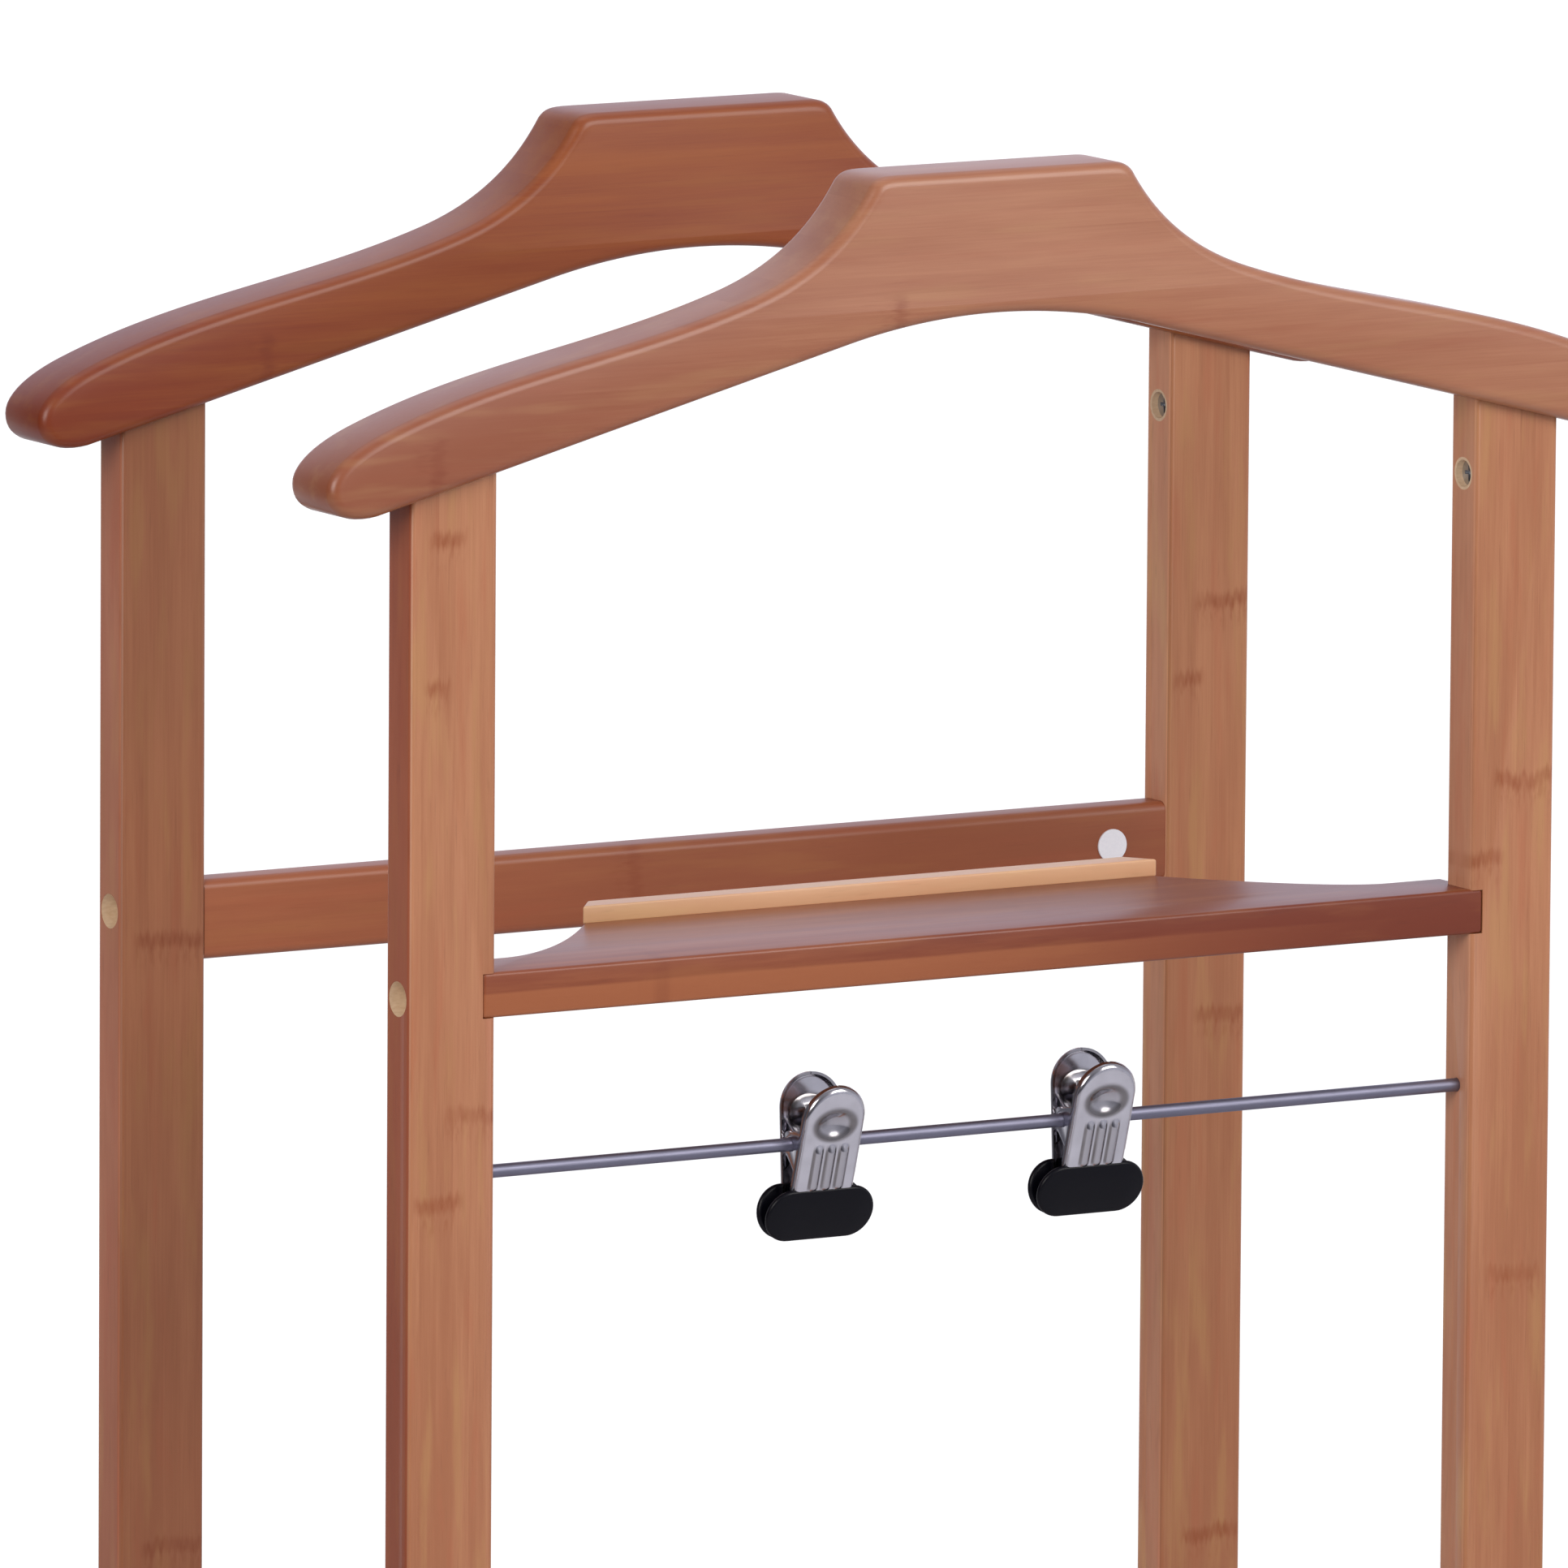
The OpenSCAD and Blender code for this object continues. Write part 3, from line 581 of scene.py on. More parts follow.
def unseen_knots(seed, low, high):
    """A few knots for a stretch of cane, each on some of its strips."""
    rng = random.Random(seed)
    found = []
    height = low + rng.uniform(0.0, 0.12)
    while height < high:
        start = rng.choice([0.0, 0.2, 0.4])
        found.append((height, start, start + rng.uniform(0.4, 0.6)))
        height += rng.uniform(0.1, 0.2)
    return found


# %% Build the posts
for seed, (node, knots) in enumerate(POST_KNOTS.items()):
    low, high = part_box(node)
    y = (low.y + high.y) / 2
    spots = [(drop(fall), share_a, share_b) for fall, share_a, share_b in knots]
    spots += unseen_knots(seed, low.z + 0.03, drop(470))
    spread = [(z, low.x + a * post_w, low.x + b * post_w) for z, a, b in spots]
    screw_z = tray_hole_z if node.startswith("front") else rail_hole_z
    raw = [(bore_reach, y, screw_z, COUNTERBORE_R), (bore_reach, y, lower_hole_z, COUNTERBORE_R),
           (nut_reach, y, nut_z, NUT_R)]
    tone, flank = POST_TONES[node]
    light, dark = ([c * t for c, t in zip(colour, tone)] for colour in (POST_LIGHT, POST_DARK))
    wood = bamboo(node + "_bamboo", 2, 0, light, dark, knots=spread, raw=raw, fade=(0.45, 1.0, 0.45),
                  flank=(low.x + 0.3 * MM, flank), knot_strength=0.85)
    set_out(eased_copy(node, node + "_wood", 0.35 * MM), "root", "bamboo_frame", wood, node)

# %% [markdown]
# ## The tray and its lip
# The tray is one flat board of two plies. Its rear corners are scooped in a long curve, which starts
# straight beside each post and ends at the back edge. The board is drawn from above as a flat outline,
# made thick, and eased. The lip is a pale strip along the back edge, and its ends follow the same curve.

# %% Build the tray and the lip
HOUSING = 4.2 * MM
SHOULDER = 23.8 * MM
SCOOP_FLAT = 15 * MM
SCOOP_L = 60 * MM
SCOOP_END = math.radians(54)
LIP_T = lip_high.y - lip_low.y

tray_t = tray_high.z - tray_low.z
tray_d = tray_high.y - tray_low.y


def scoop():
    """The right-hand scooped corner: a curve from the straight shoulder round to the back edge."""
    start = Vector((inner_x - SCOOP_FLAT, SHOULDER))
    end = Vector((start.x - SCOOP_L, tray_d))
    inward = Vector((math.cos(SCOOP_END), -math.sin(SCOOP_END)))
    first_handle = start - Vector((0.36 * SCOOP_L, 0))
    return [start] + cubic(start, first_handle, end + 0.18 * SCOOP_L * inward, end, 32)


def mirrored(half):
    """A whole outline from its right half."""
    return half + [Vector((-p.x, p.y)) for p in reversed(half)]


def flat_board(points, low_z, high_z, front_y):
    """Fills a mesh with an outline seen from above, between two heights."""

    def make(work):
        draw_out(work, [(p.x, front_y + p.y, low_z) for p in points], (0, 0, high_z - low_z))

    return make


ends = [Vector((inner_x + HOUSING, 0)), Vector((inner_x + HOUSING, SHOULDER))]
tray = new_piece("tray", flat_board(mirrored(ends + scoop()), tray_low.z, tray_high.z, tray_low.y))
tray = shade(ease(tray, 1.8 * MM, 4, 50), 30)
tray_knots = [(0.03, tray_low.y + 0.02, tray_low.y + 0.05), (-0.11, tray_low.y, tray_low.y + 0.02)]
tray_wood = bamboo("tray_bamboo", 0, 1, (0.355, 0.108, 0.038), (0.17, 0.027, 0.006), knots=tray_knots,
                   contrast=0.6, roughness=0.4, coat=0.5, fade=(0.17, -0.1, 0.75), knot_strength=0.4,
                   lower_tone=(tray_low.z + 0.54 * tray_t, (0.36, 0.112, 0.038)))
set_out(tray, "root", "bamboo_tray", tray_wood, "tray_board")

front_of_lip = tray_d - LIP_T
behind = [p for p in scoop() if p.y > front_of_lip]
corner = behind[0] + (behind[0] - behind[1]) * ((behind[0].y - front_of_lip) / (behind[1].y - behind[0].y))
lip = new_piece("lip", flat_board(
    mirrored([corner] + behind), tray_high.z - 0.3 * MM, lip_high.z, tray_low.y))
lip = shade(ease(lip, 1.5 * MM, 4, 50), 30)
lip_wood = bamboo("lip_bamboo", 0, 1, (0.775, 0.475, 0.275), (0.635, 0.355, 0.185), contrast=0.6)
set_out(lip, "root", "bamboo_lip", lip_wood, "tray_lip")

# %% [markdown]
# ## The rails
# Three rails of the same section tie the posts together. The one across the back is the deepest in tone.
# A cube that is stretched to a node's box, with its four long edges bevelled, is all that a rail needs.

# %% Build the rails
def rail_bar(low, high, radius):
    """Fills a mesh with a bar along X whose four long edges are rounded."""

    def make(work):
        bmesh.ops.create_cube(work, size=1.0)
        bmesh.ops.scale(work, verts=work.verts, vec=high - low)
        bmesh.ops.translate(work, verts=work.verts, vec=(low + high) / 2)
        long_edges = [e for e in work.edges if abs(e.verts[0].co.x - e.verts[1].co.x) > 0.1]
        bmesh.ops.bevel(work, geom=long_edges, offset=radius, segments=6, profile=0.5, affect="EDGES")

    return make


RAILS = {
    "rear_rail": ((0.36, 0.112, 0.042), (0.27, 0.074, 0.027), [(-0.02, 0.0, 1.0)]),
    "front_lower_rail": ((0.36, 0.12, 0.05), (0.26, 0.08, 0.032), [(-0.06, 0.0, 0.6), (0.12, 0.3, 1.0)]),
    "rear_lower_rail": ((0.33, 0.1, 0.04), (0.24, 0.068, 0.026), [(0.05, 0.2, 1.0)]),
}
for node, (light, dark, knots) in RAILS.items():
    low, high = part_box(node)
    height = high.z - low.z
    spread = [(x, low.z + a * height, low.z + b * height) for x, a, b in knots]
    # The fade darkens each rail from its middle to its right end: painted shade
    wood = bamboo(node + "_bamboo", 0, 2, light, dark, knots=spread, contrast=0.7, knot_strength=0.5,
                  fade=(-0.03, -0.16, 0.5))
    bar = new_piece(node + "_bar", rail_bar(low, high, 2.8 * MM))
    set_out(shade(bar, 40), "root", "bamboo_rail", wood, node)

# %% [markdown]
# ## The base
# The foot beams have rounded ends, which the frame already gives, so they are copied and eased. The shoe
# shelf is a row of identical slats, which is what Geometry Nodes are for: one slat is drawn once, set out
# along a line, and every copy is made real.

# %% Build the foot beams
for node in ("left_foot", "right_foot"):
    wood = bamboo(node + "_bamboo", 1, 2, (0.44, 0.18, 0.09), (0.31, 0.115, 0.055),
                  knots=[(-0.12, 0.0, 0.03), (0.06, 0.015, 0.05)], contrast=0.9)
    set_out(eased_copy(node, node + "_wood", 1.6 * MM, 4), "root", "bamboo_frame", wood, node)


# %% [markdown]
# A Geometry Nodes tree is built like a shader: nodes, then links. `Planter` keeps that short. Its inputs
# are named sizes, and its last two nodes are always Realize Instances and Set Material. Once the modifier
# has run, the result is frozen into a plain mesh.


# %% The Planter class
class Planter:
    """A Geometry Nodes tree on a new object, with named number inputs."""

    def __init__(self, name, material, **sizes):
        self.name = name
        self.material = material
        self.sizes = sizes
        self.tree = bpy.data.node_groups.new(name, "GeometryNodeTree")
        self.tree.interface.new_socket("Geometry", in_out="OUTPUT", socket_type="NodeSocketGeometry")
        self.keys = {}
        for label, value in sizes.items():
            kind = "NodeSocketInt" if isinstance(value, int) else "NodeSocketFloat"
            socket = self.tree.interface.new_socket(label, in_out="INPUT", socket_type=kind)
            self.keys[label] = socket.identifier
        self.entry = self.tree.nodes.new("NodeGroupInput")

    def size(self, label):
        """The output of the named input."""
        return self.entry.outputs[label]

    def add(self, kind, settings=None, values=None):
        """A node: its settings, then the values or outputs that feed its inputs."""
        node = self.tree.nodes.new(kind)
        for setting, value in (settings or {}).items():
            setattr(node, setting, value)
        for socket, value in (values or {}).items():
            target = node.inputs[socket]
            if isinstance(value, bpy.types.NodeSocket):
                self.tree.links.new(value, target)
            else:
                target.default_value = value
        return node.outputs[0]

    def maths(self, operation, *values):
        return self.add("ShaderNodeMath", {"operation": operation}, dict(enumerate(values)))

    def point(self, x=0.0, y=0.0, z=0.0):
        return self.add("ShaderNodeCombineXYZ", values={0: x, 1: y, 2: z})

    def grow(self, geometry):
        """Finishes the tree on a new object and returns it with a plain mesh."""
        real = self.add("GeometryNodeRealizeInstances", values={0: geometry})
        dressed = self.add("GeometryNodeSetMaterial", values={"Geometry": real, "Material": self.material})
        exit_node = self.tree.nodes.new("NodeGroupOutput")
        self.tree.links.new(dressed, exit_node.inputs[0])
        piece = bpy.data.objects.new(self.name, bpy.data.meshes.new(self.name))
        bpy.context.scene.collection.objects.link(piece)
        modifier = piece.modifiers.new(self.name, "NODES")
        modifier.node_group = self.tree
        for label, value in self.sizes.items():
            modifier[self.keys[label]] = value
        return freeze(piece)


# %% Build the shoe slats
slat_boxes = [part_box(f"shoe_slat_{i}") for i in range(1, 7)]
slat_low, slat_high = slat_boxes[0]
slat_pitch = slat_boxes[1][0].x - slat_low.x
slat_size = slat_high - slat_low
slat_knots = [(0.05, -0.12, -0.06), (-0.07, 0.0, 0.05), (0.02, 0.1, 0.14),
              (-0.03, -0.16, -0.13), (0.09, 0.02, 0.06)]
slat_wood = bamboo("slat_bamboo", 1, 0, (0.48, 0.21, 0.11), (0.34, 0.135, 0.065), knots=slat_knots)

slats = Planter("shoe_slats", slat_wood, Count=6, Pitch=slat_pitch, Width=slat_size.x, Length=slat_size.y,
                Thickness=slat_size.z, First=(slat_low.x + slat_high.x) / 2,
                Height=(slat_low.z + slat_high.z) / 2)
section = slats.add("GeometryNodeCurvePrimitiveQuadrilateral", {"mode": "RECTANGLE"},
                    {"Width": slats.size("Width"), "Height": slats.size("Thickness")})
section = slats.add("GeometryNodeFilletCurve", {"mode": "POLY"},
                    {"Curve": section, "Count": 5, "Radius": 2.0 * MM})
half_length = slats.maths("MULTIPLY", slats.size("Length"), 0.5)
spine = slats.add("GeometryNodeCurvePrimitiveLine", values={
    "Start": slats.point(y=slats.maths("MULTIPLY", half_length, -1.0)), "End": slats.point(y=half_length)})
slat = slats.add("GeometryNodeCurveToMesh", values={
    "Curve": spine, "Profile Curve": section, "Fill Caps": True})
row = slats.add("GeometryNodeMeshLine", {"mode": "OFFSET"}, {
    "Count": slats.size("Count"), "Offset": slats.point(slats.size("Pitch")),
    "Start Location": slats.point(slats.size("First"), 0.0, slats.size("Height"))})
planted = slats.add("GeometryNodeInstanceOnPoints", values={"Points": row, "Instance": slat})
shoe_slats = slats.grow(planted)
shoe_slats = shade(ease(shoe_slats, 0.6 * MM, 2, 60), 35)
set_out(shoe_slats, "root", "bamboo_slat", slat_wood, *[f"shoe_slat_{i}" for i in range(1, 7)])
slat_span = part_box("shoe_slat_6")[1].x - slat_low.x
print("slat row is", round(slat_span / MM), "mm across")

# %% [markdown]
# ## The clips
# A clip is two stamped levers on the rod, pressed together by a spring. Each lever is a thin sheet with a
# round thumb end, a pressed thumb dimple, three ribs and edges folded inwards, and two ears hold it on the
# rod. The sheet is a grid of points bent by a formula, then given its thickness.
# All of it is drawn in the lever's own frame, with the jaw's tip at the origin and the lever along +Z,
# and then leant and hung on the rod as the frame has it.

# %% Clip sizes and frames
CLIP_LEAN = math.radians(7)
LEVER_ANGLE = math.radians(10)
PIVOT_BACK = 0.85 * MM
JAW_DROP = 28.7 * MM
JAW_GAP = 0.15 * MM
LEVER_L = 48.5 * MM
HALF_LEVER = 9.9 * MM
EAR_T = 0.9 * MM
SHEET = 0.8 * MM
PLATE_IN = 0.95 * MM
JAW_T = 2.8 * MM
JAW_SWELL = 0.65 * MM
JAW_H = 16.4 * MM
JAW_W = 36.4 * MM
ROD_R = 2.08 * MM
EAR_R = 4 * MM
THUMB_W = 6.9 * MM
THUMB_H = 5.0 * MM
DISH = 2.0 * MM
RIB_PITCH = 4.3 * MM
RIB_RISE = 1.1 * MM
FOLD = 1.0 * MM
LEG_X = -1.5 * MM

rod_low, rod_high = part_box("trouser_rod")
rod_y = (rod_low.y + rod_high.y) / 2
rod_z = (rod_low.z + rod_high.z) / 2
print("the rod is", round(rod_z / MM), "mm above the floor")


def clip_place(side, clip_x):
    """Where a lever's own frame stands: side is 1 for the rear lever, -1 for the front one."""
    hung = Matrix.Translation((clip_x, rod_y, rod_z)) @ Matrix.Rotation(CLIP_LEAN, 4, "X")
    middle = hung @ Matrix.Translation((0, -PIVOT_BACK, 0))
    turned = Matrix.Scale(-1, 4, (0, 1, 0)) if side < 0 else Matrix.Identity(4)
    own = Matrix.Translation((0, JAW_GAP, -JAW_DROP)) @ Matrix.Rotation(-LEVER_ANGLE, 4, "X")
    return middle @ turned @ own


def pivot_spot(side):
    """The rod's centre in a lever's own frame, as Y and Z."""
    y = side * PIVOT_BACK - JAW_GAP
    return (y * math.cos(LEVER_ANGLE) - JAW_DROP * math.sin(LEVER_ANGLE),
            y * math.sin(LEVER_ANGLE) + JAW_DROP * math.cos(LEVER_ANGLE))


def rise(value, low, high):
    """0 below low, 1 above high, and a smooth rise between them."""
    t = max(0.0, min(1.0, (value - low) / (high - low)))
    return t * t * (3 - 2 * t)


def bump_shape(value, centre, half, edge):
    """1 within half of the centre, falling smoothly to 0 over the edge's width."""
    return rise(half + edge - abs(value - centre), 0.0, edge)


# %% The bent sheet of a lever
def relief(x, z, straight):
    """Outward height of the pressed thumb dimple and three ribs, and the painted shade in and beside them.
    """
    thumb = math.hypot(x / THUMB_W, (z - straight + 1.5 * MM) / THUMB_H)
    dish = -DISH * max(0.0, 1 - thumb * thumb) ** 1.5
    along = rise(z, JAW_H - 0.8 * MM, JAW_H + 1.2 * MM) * rise(straight - 7.3 * MM - z, 0.0, 3.2 * MM)
    offsets = [abs(x - centre) for centre in (-RIB_PITCH, 0, RIB_PITCH)]
    ribs = sum(bump_shape(offset, 0, 0.2 * MM, 1.5 * MM) for offset in offsets)
    # Painted shade along the ribs' flanks, and a painted brownish reflection on their crowns
    flank = sum(bump_shape(offset, 1.35 * MM, 0.2 * MM, 0.5 * MM) for offset in offsets)
    crown = sum(bump_shape(offset, 0, 0.9 * MM, 0.3 * MM) for offset in offsets)
    # Painted shade: a dark ring round the thumb dimple and a softer dark inside it
    hollow = bump_shape(thumb, 0.92, 0.05, 0.25) * 0.75 + bump_shape(thumb, 0, 0.55, 0.35) * 0.3
    # A painted dark reflection to one side of the dimple
    hollow += bump_shape(math.hypot(x / MM + 3.6, (z - straight) / MM + 0.6), 0, 0.8, 2.4) * 0.3
    return dish + RIB_RISE * ribs * along, min(1.0, hollow + (0.75 * flank + 0.3 * crown) * along)


def lever_sheet(half_w, fold):
    """Fills a mesh with the bent sheet of a lever, without thickness: rows of points from jaw to thumb."""
    straight = LEVER_L - half_w
    roll = 1.5 * MM
    heights = [3 * MM + (straight - 3 * MM) * i / 110 for i in range(111)]
    # The rows about the round end, in degrees, are closer where they get shorter or where the fold turns
    heights += [straight + half_w * math.sin(math.radians(a)) for a in (
        2, 4, 6, 8, 11, 14, 17, 20, 24, 28, 32, 36, 40,
        45, 50, 55, 60, 65, 69, 73, 77, 80, 83, 85.5, 87.5, 89)]
    across = [-1 + 2 * i / 72 for i in range(73)]

    def make(work):
        # This point layer holds painted shade and dark reflections, which darken the chrome
        painted_shade = work.verts.layers.float.new("painted_shade")
        rings = []
        for z in heights:
            w = half_w if z <= straight else math.sqrt(half_w ** 2 - (z - straight) ** 2)
            line = []
            for u in across:
                x = u * w
                from_rim = w - abs(x) if z <= straight else half_w - math.hypot(x, z - straight)
                rim = min(max(1 - from_rim / roll, 0.0), 1.0)
                height, shade_paint = relief(x, z, straight)
                y = height * (1 - rim) - roll * (1 - math.sqrt(1 - 0.96 * rim ** 2))
                # Painted shade along the rolled rim
                shade_paint += 0.45 * bump_shape(rim, 1, 0.3, 0.3)
                line.append((Vector((x, PLATE_IN + SHEET + y, z)), shade_paint))
            for sign, end in ((-1, 0), (1, -1)):
                edge = line[end][0]
                # The folded edges carry painted shade as well
                folded = [(Vector((edge.x, edge.y - fold * share, z)), 0.4) for share in (0.4, 1.0)]
                line = folded[::-1] + line if sign < 0 else line + folded
            ring = [work.verts.new(spot) for spot, shade_paint in line]
            for vert, (spot, shade_paint) in zip(ring, line):
                vert[painted_shade] = shade_paint
            rings.append(ring)
        for lower, upper in zip(rings, rings[1:]):
            for i in range(len(lower) - 1):
                work.faces.new((lower[i], lower[i + 1], upper[i + 1], upper[i]))

    return make


# %% [markdown]
# The ears are flat plates that reach from the sheet to the rod. Each is a tapered web that ends in a round
# eye, so its outline is two straight lines and an arc. The eye is drilled for the rod.


# %% The ears, and the finished lever
def ear_plates(side, ear_x):
    """Fills a mesh with the two ears of a lever."""
    pivot_y, pivot_z = pivot_spot(side)

    def make(work):
        arc = [math.radians(a) for a in range(90, 271, 10)]
        ring = [(pivot_y + EAR_R * math.cos(a), pivot_z + EAR_R * math.sin(a)) for a in arc]
        ring = [(PLATE_IN + 0.3 * MM, pivot_z + 8 * MM)] + ring + [(PLATE_IN + 0.3 * MM, pivot_z - 8 * MM)]
        for sign in (-1, 1):
            start = sign * ear_x + (0 if sign > 0 else -EAR_T)
            draw_out(work, [(start, y, z) for y, z in ring], (EAR_T, 0, 0))

    return make


def cut_round(piece, centre, radius, half_length):
    """Cuts a round hole along X through the piece."""
    spin = Matrix.Translation(centre) @ Matrix.Rotation(math.radians(90), 4, "Y")
    tool = new_piece("drill", lambda work: bmesh.ops.create_cone(
        work, cap_ends=True, segments=40, radius1=radius, radius2=radius, depth=2 * half_length,
        matrix=spin))
    cut = piece.modifiers.new("hole", "BOOLEAN")
    cut.operation = "DIFFERENCE"
    cut.solver = "EXACT"
    cut.object = tool
    freeze(piece)
    bpy.data.objects.remove(tool)


def build_lever(name, side, ear_x, clip_x):
    """The finished sheet and ears of one lever, in their place."""
    sheet = new_piece(name, lever_sheet(HALF_LEVER, FOLD))
    thick = sheet.modifiers.new("sheet", "SOLIDIFY")
    thick.thickness = SHEET
    thick.offset = 0.0
    thick.use_even_offset = False
    freeze(sheet)
    sheet.data.transform(Matrix.Translation((0, -SHEET / 2, 0)))
    pivot_y, pivot_z = pivot_spot(side)
    ears = new_piece(name + "_ears", ear_plates(side, ear_x))
    cut_round(ears, (0, pivot_y, pivot_z), ROD_R, 14 * MM)
    ease(ears, 0.2 * MM, 2, 60)
    for part in (sheet, ears):
        part.data.transform(clip_place(side, clip_x))
        if side < 0:
            part.data.flip_normals()
        shade(part, 40)
    return sheet, ears


# %% [markdown]
# The jaws are dipped in thick black vinyl. Each one is a rounded tablet about the end of the lever, and it
# swells towards the middle of its outer face. The swelling is the flat face inset in steps, each of which
# rises a little less, so it needs no sculpting.


# %% Build one jaw
def jaw_tablet(work):
    """Fills a mesh with a stadium-shaped tablet, in the lever's own frame."""
    radius = JAW_H / 2
    run = JAW_W / 2 - radius
    ring = []
    for sign, start in ((1, -90), (-1, 90)):
        for i in range(25):
            angle = math.radians(start + 180 * i / 24)
            ring.append((sign * run + radius * math.cos(angle), 0, radius + radius * math.sin(angle)))
    draw_out(work, ring, (0, JAW_T - JAW_SWELL, 0))
    rims = [e for e in work.edges if abs(e.verts[0].co.y - e.verts[1].co.y) < 0.1 * MM]
    bmesh.ops.bevel(work, geom=rims, offset=1.05 * MM, segments=6, profile=0.5, affect="EDGES")
    # The outer face swells to the middle in five steps that flatten out
    bmesh.ops.recalc_face_normals(work, faces=work.faces)
    outer = max(work.faces, key=lambda face: face.calc_center_median().y)
    for share in (0.36, 0.28, 0.2, 0.12, 0.04):
        bmesh.ops.inset_individual(work, faces=[outer], thickness=1.25 * MM, depth=share * JAW_SWELL)


def build_jaw(name, side, clip_x):
    """One jaw in its place: side is 1 for the rear lever, -1 for the front one."""
    piece = new_piece(name, jaw_tablet)
    piece.data.transform(clip_place(side, clip_x))
    if side < 0:
        piece.data.flip_normals()
    return shade(piece, 40)


# %% [markdown]
# The spring is five turns of wire round the sleeve, with one leg up the inside of the rear lever. A
# Geometry Nodes tree winds it: a spiral curve, a round section swept along it, and a cylinder for the leg.
# The other leg turns with the front lever, so it is a node of its own.


# %% Build one spring
def build_spring(name, clip_x):
    """The coil and the rear leg of one spring, in their place."""
    planter = Planter(name, spring_wire, Turns=5.0, Coil=3.3 * MM, Wire=0.47 * MM,
                      Pitch=1.0 * MM, Leg=11.0 * MM)
    length = planter.maths("MULTIPLY", planter.size("Turns"), planter.size("Pitch"))
    spiral = planter.add("GeometryNodeCurveSpiral", values={
        "Resolution": 28, "Rotations": planter.size("Turns"), "Start Radius": planter.size("Coil"),
        "End Radius": planter.size("Coil"), "Height": length})
    ring = planter.add("GeometryNodeCurvePrimitiveCircle", {"mode": "RADIUS"},
                       {"Resolution": 10, "Radius": planter.size("Wire")})
    coil = planter.add("GeometryNodeCurveToMesh", values={
        "Curve": spiral, "Profile Curve": ring, "Fill Caps": True})
    coil = planter.add("GeometryNodeTransform", values={
        "Geometry": coil, "Rotation": (0.0, math.radians(90), 0.0),
        "Translation": planter.point(planter.maths("MULTIPLY", length, -0.5))})
    leg = planter.add("GeometryNodeMeshCylinder", {"fill_type": "NGON"}, {
        "Vertices": 12, "Radius": planter.size("Wire"), "Depth": planter.size("Leg")})
    leg = planter.add("GeometryNodeTransform", values={
        "Geometry": leg, "Translation": planter.point(
            LEG_X, planter.size("Coil"), planter.maths("MULTIPLY", planter.size("Leg"), 0.5))})
    leg = planter.add("GeometryNodeTransform", values={
        "Geometry": leg, "Rotation": (-LEVER_ANGLE, 0.0, 0.0)})
    both = planter.tree.nodes.new("GeometryNodeJoinGeometry")
    for part in (coil, leg):
        planter.tree.links.new(part, both.inputs[0])
    piece = planter.grow(both.outputs[0])
    piece.data.transform(Matrix.Translation((clip_x, rod_y, rod_z)) @ Matrix.Rotation(CLIP_LEAN, 4, "X"))
    return shade(piece, 60)


# %% Build both clips
for hand in ("left", "right"):
    low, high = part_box(f"{hand}_clip_sleeve")
    clip_x = (low.x + high.x) / 2
    for side, word, part, ear_x in (
            (1, "back", "rear", HALF_LEVER - 2.15 * MM), (-1, "thumb", "front", HALF_LEVER - EAR_T)):
        body = f"{hand}_clip_{part}"
        sheet, ears = build_lever(f"{hand}_clip_{word}_lever", side, ear_x, clip_x)
        set_out(sheet, body, "clip_chrome", clip_chrome, body + "_lever")
        set_out(ears, body, "clip_chrome", clip_chrome)
        jaw = build_jaw(f"{hand}_clip_{word}_vinyl", side, clip_x)
        set_out(jaw, body, "jaw_rubber", jaw_vinyl, body + "_jaw")
    spring = build_spring(f"{hand}_clip_coil", clip_x)
    set_out(spring, f"{hand}_clip_rear", "spring_steel", spring_wire, f"{hand}_clip_spring")

# %% [markdown]
# ## Nodes that keep their own shape
# The rod, the sleeves, the springs' front legs, the screws, bolts and nuts, the dowels, the pads and the
# label are right as they are. They only need their finish.

# %% Finish the remaining nodes
FINISHES = {
    "trouser_rod": rod_steel, "left_clip_sleeve": rod_steel, "right_clip_sleeve": rod_steel,
    "left_clip_spring_leg": spring_wire, "right_clip_spring_leg": spring_wire,
    "tray_screws": zinc, "rear_rail_screws": zinc, "lower_rail_screws": zinc, "slat_screws": zinc,
    "barrel_nuts": zinc, "hanger_bolts": zinc, "foot_pads": pad_rubber, "round_label": label_white,
}
dowel_wood = bamboo("raw_dowel_bamboo", 2, 0, (0.72, 0.54, 0.33), (0.6, 0.42, 0.24), roughness=0.7)
FINISHES.update({"hanger_dowels": dowel_wood, "foot_dowels": dowel_wood})
for node, material in FINISHES.items():
    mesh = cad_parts[node].data
    mesh.materials.clear()
    mesh.materials.append(material)
print(len(FINISHES), "nodes keep the shape that the frame gives them")

# %% [markdown]
# ## Floor, light and camera
# The stand is on a plain pale floor. A broad soft light comes from the front right and above, a second
# fills from the left, and a weak third hangs over the stand. The pale surroundings give the lacquer its
# long soft reflections.

# %% Floor
FLOOR_R = 2.4


def disc(work):
    """Fills a mesh with the round floor."""
    bmesh.ops.create_circle(work, cap_ends=True, segments=96, radius=FLOOR_R)


floor = new_piece("floor", disc)
floor_bench = Bench("pale_floor", roughness=0.9)
grit = floor_bench.speckle(8, 8, 0)
floor_bench.finish("Base Color", floor_bench.mix(grit, (0.58, 0.58, 0.6), (0.63, 0.63, 0.65)))
floor.data.materials.append(floor_bench.material)
print("the floor is", 2 * FLOOR_R, "m across")


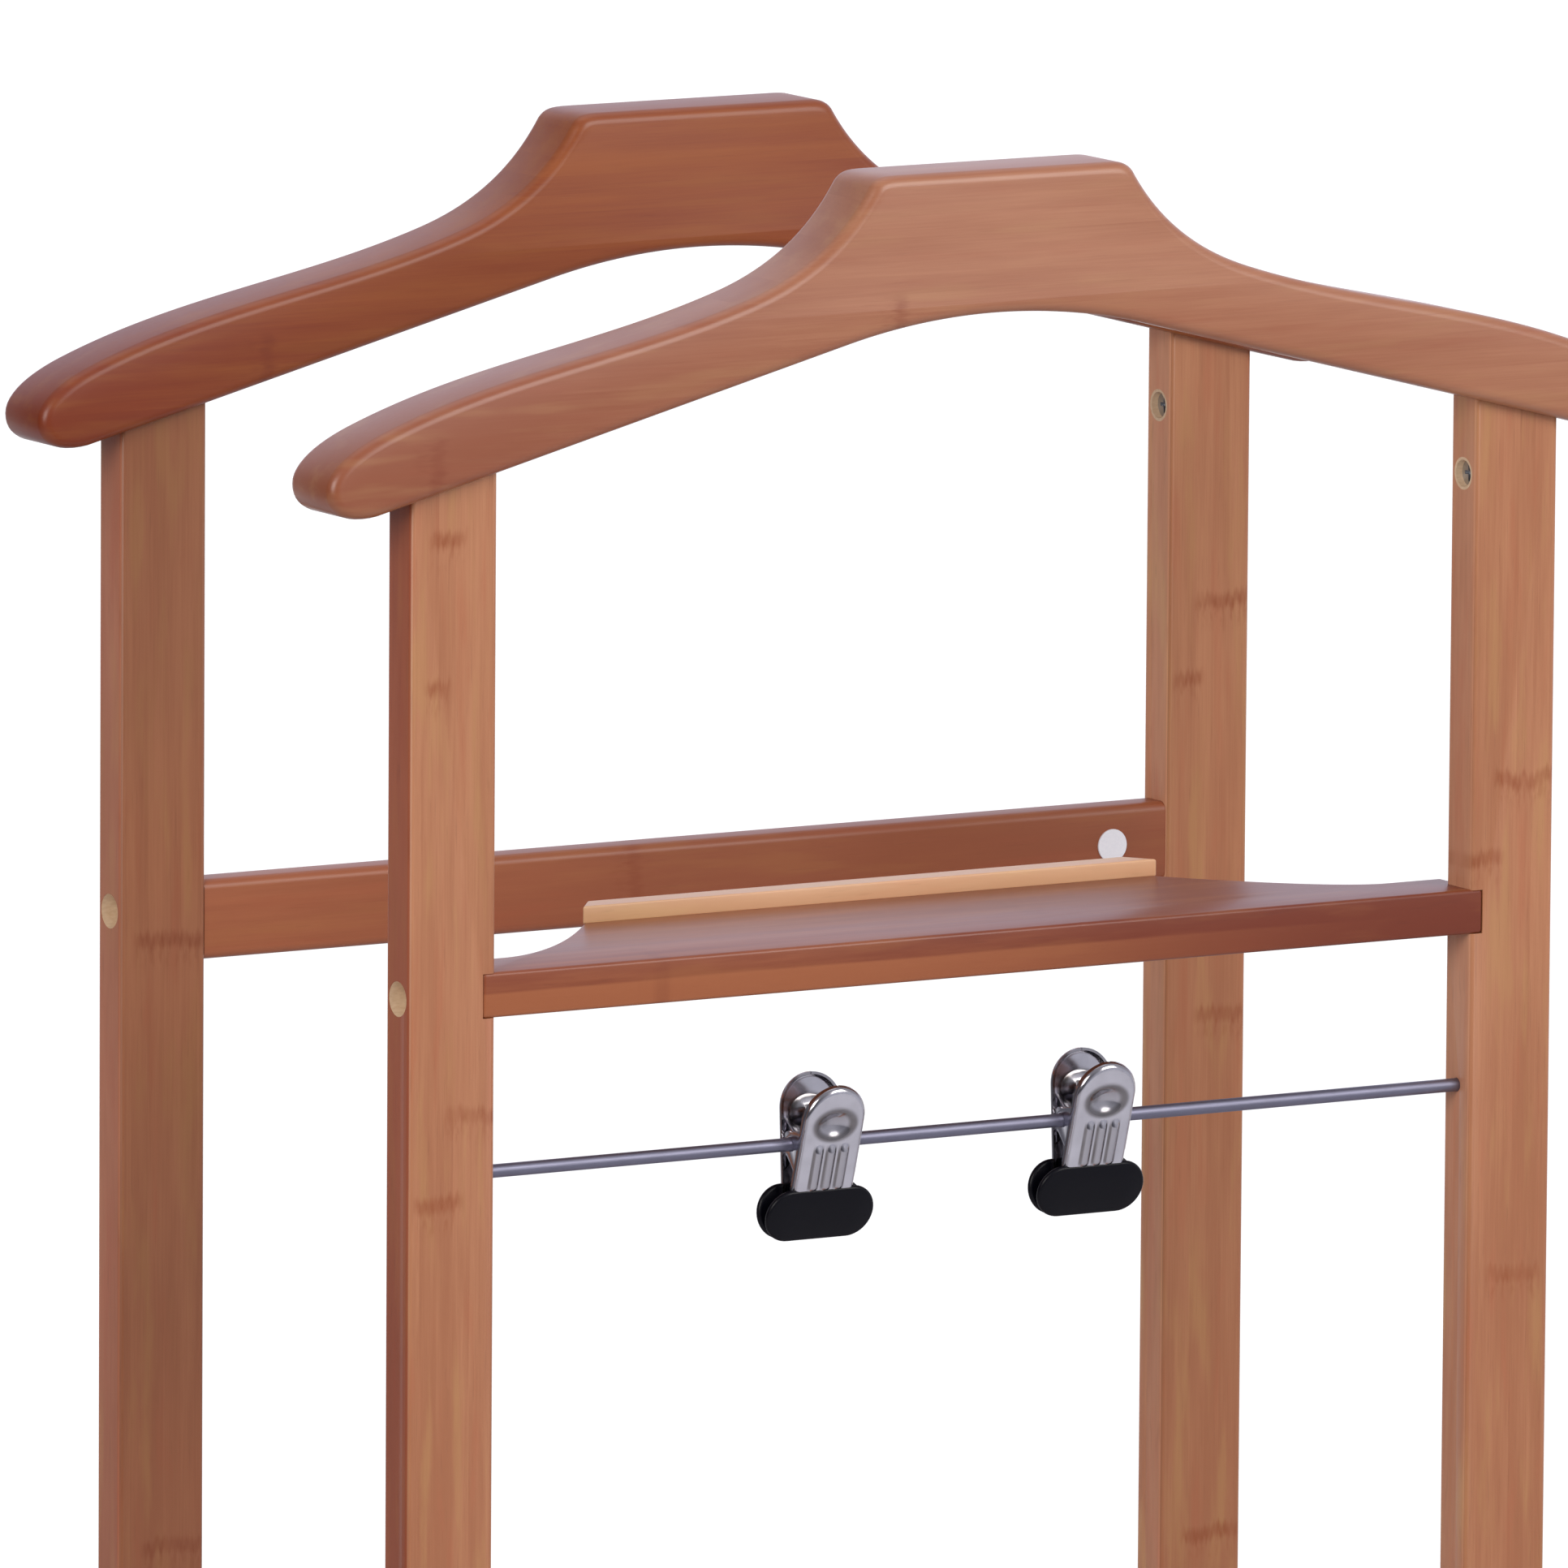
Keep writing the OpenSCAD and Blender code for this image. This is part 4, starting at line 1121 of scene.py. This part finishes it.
# %% Lights
def soft_light(name, place, target, size, power, colour):
    """A square area light that faces its target."""
    lamp = bpy.data.lights.new(name, "AREA")
    lamp.shape = "SQUARE"
    lamp.size = size
    lamp.energy = power
    lamp.color = colour
    holder = bpy.data.objects.new(name, lamp)
    bpy.context.scene.collection.objects.link(holder)
    holder.location = place
    holder.rotation_euler = (Vector(target) - Vector(place)).to_track_quat("-Z", "Y").to_euler()
    print(name, "of", power, "W")


soft_light("key_light", (0.9, -1.9, 1.9), (0, 0, 0.95), 1.2, 26, (1.0, 0.96, 0.93))
soft_light("fill_light", (-2.0, -1.2, 1.7), (0, 0, 0.95), 1.2, 30, (1.0, 0.95, 0.92))
soft_light("top_light", (0.1, 0.3, 2.9), (0, 0, 0.9), 1.6, 7, (0.95, 0.96, 1.0))

# %% [markdown]
# The surroundings are a paper sweep: bright behind the stand, and dimmer towards the left and on the side
# of the viewer, so that the chrome and the lacquer have something to mirror.

# %% Surroundings
BEHIND = (math.sin(math.radians(40)), math.cos(math.radians(40)), 0.0)
world = bpy.data.worlds.new("surroundings")
bpy.context.scene.world = world
sky = Bench("sky", world)
way = sky.add("ShaderNodeTexCoord", output="Generated")
facing = sky.add("ShaderNodeVectorMath", {"operation": "DOT_PRODUCT"}, {0: way, 1: BEHIND}, output="Value")
sideways = sky.add("ShaderNodeSeparateXYZ", values={0: way}, output="X")
height = sky.add("ShaderNodeSeparateXYZ", values={0: way}, output="Z")
room = sky.mix(sideways.ramp(-0.6, 0.5), (0.12, 0.12, 0.14), (0.52, 0.52, 0.58))
room = sky.mix(height.ramp(0.1, 0.8) * 0.6, room, (0.6, 0.6, 0.66))
sweep = sky.mix(height.ramp(-0.04, 0.06), (1.1, 1.1, 1.12), (0.84, 0.83, 1.0))
sky.finish("Color", sky.mix(facing.ramp(0.36, 0.8) * height.ramp(0.8, 0.3), room, sweep))
bpy.context.scene.view_settings.view_transform = "Standard"
print("the surroundings take", len(sky.tree.nodes), "nodes")

# %% [markdown]
# The camera stands far off with a long lens, so that upright edges stay upright. It looks from the left
# and a little from above.

# %% Camera
HEADING = math.radians(30.49)
TILT = math.radians(8.52)
ROLL = math.radians(0.392)
LENS = 508.2
VIEWPOINT = (-3.3177, -5.6087, hanger_top + 0.7811)

forward = Vector((math.sin(HEADING) * math.cos(TILT), math.cos(HEADING) * math.cos(TILT), -math.sin(TILT)))
flat_right = Vector((math.cos(HEADING), -math.sin(HEADING), 0))
flat_up = flat_right.cross(forward)
right = flat_right * math.cos(ROLL) + flat_up * math.sin(ROLL)
up = flat_up * math.cos(ROLL) - flat_right * math.sin(ROLL)
turn = Matrix((right, up, -forward)).transposed().to_4x4()
lens = bpy.data.cameras.new("camera")
lens.lens = LENS
lens.sensor_width = 36
lens.clip_end = 100
camera = bpy.data.objects.new("camera", lens)
bpy.context.scene.collection.objects.link(camera)
camera.matrix_world = Matrix.Translation(VIEWPOINT) @ turn
bpy.context.scene.camera = camera
print("the camera stands", round(Vector(VIEWPOINT).length, 2), "m from the foot of the stand")
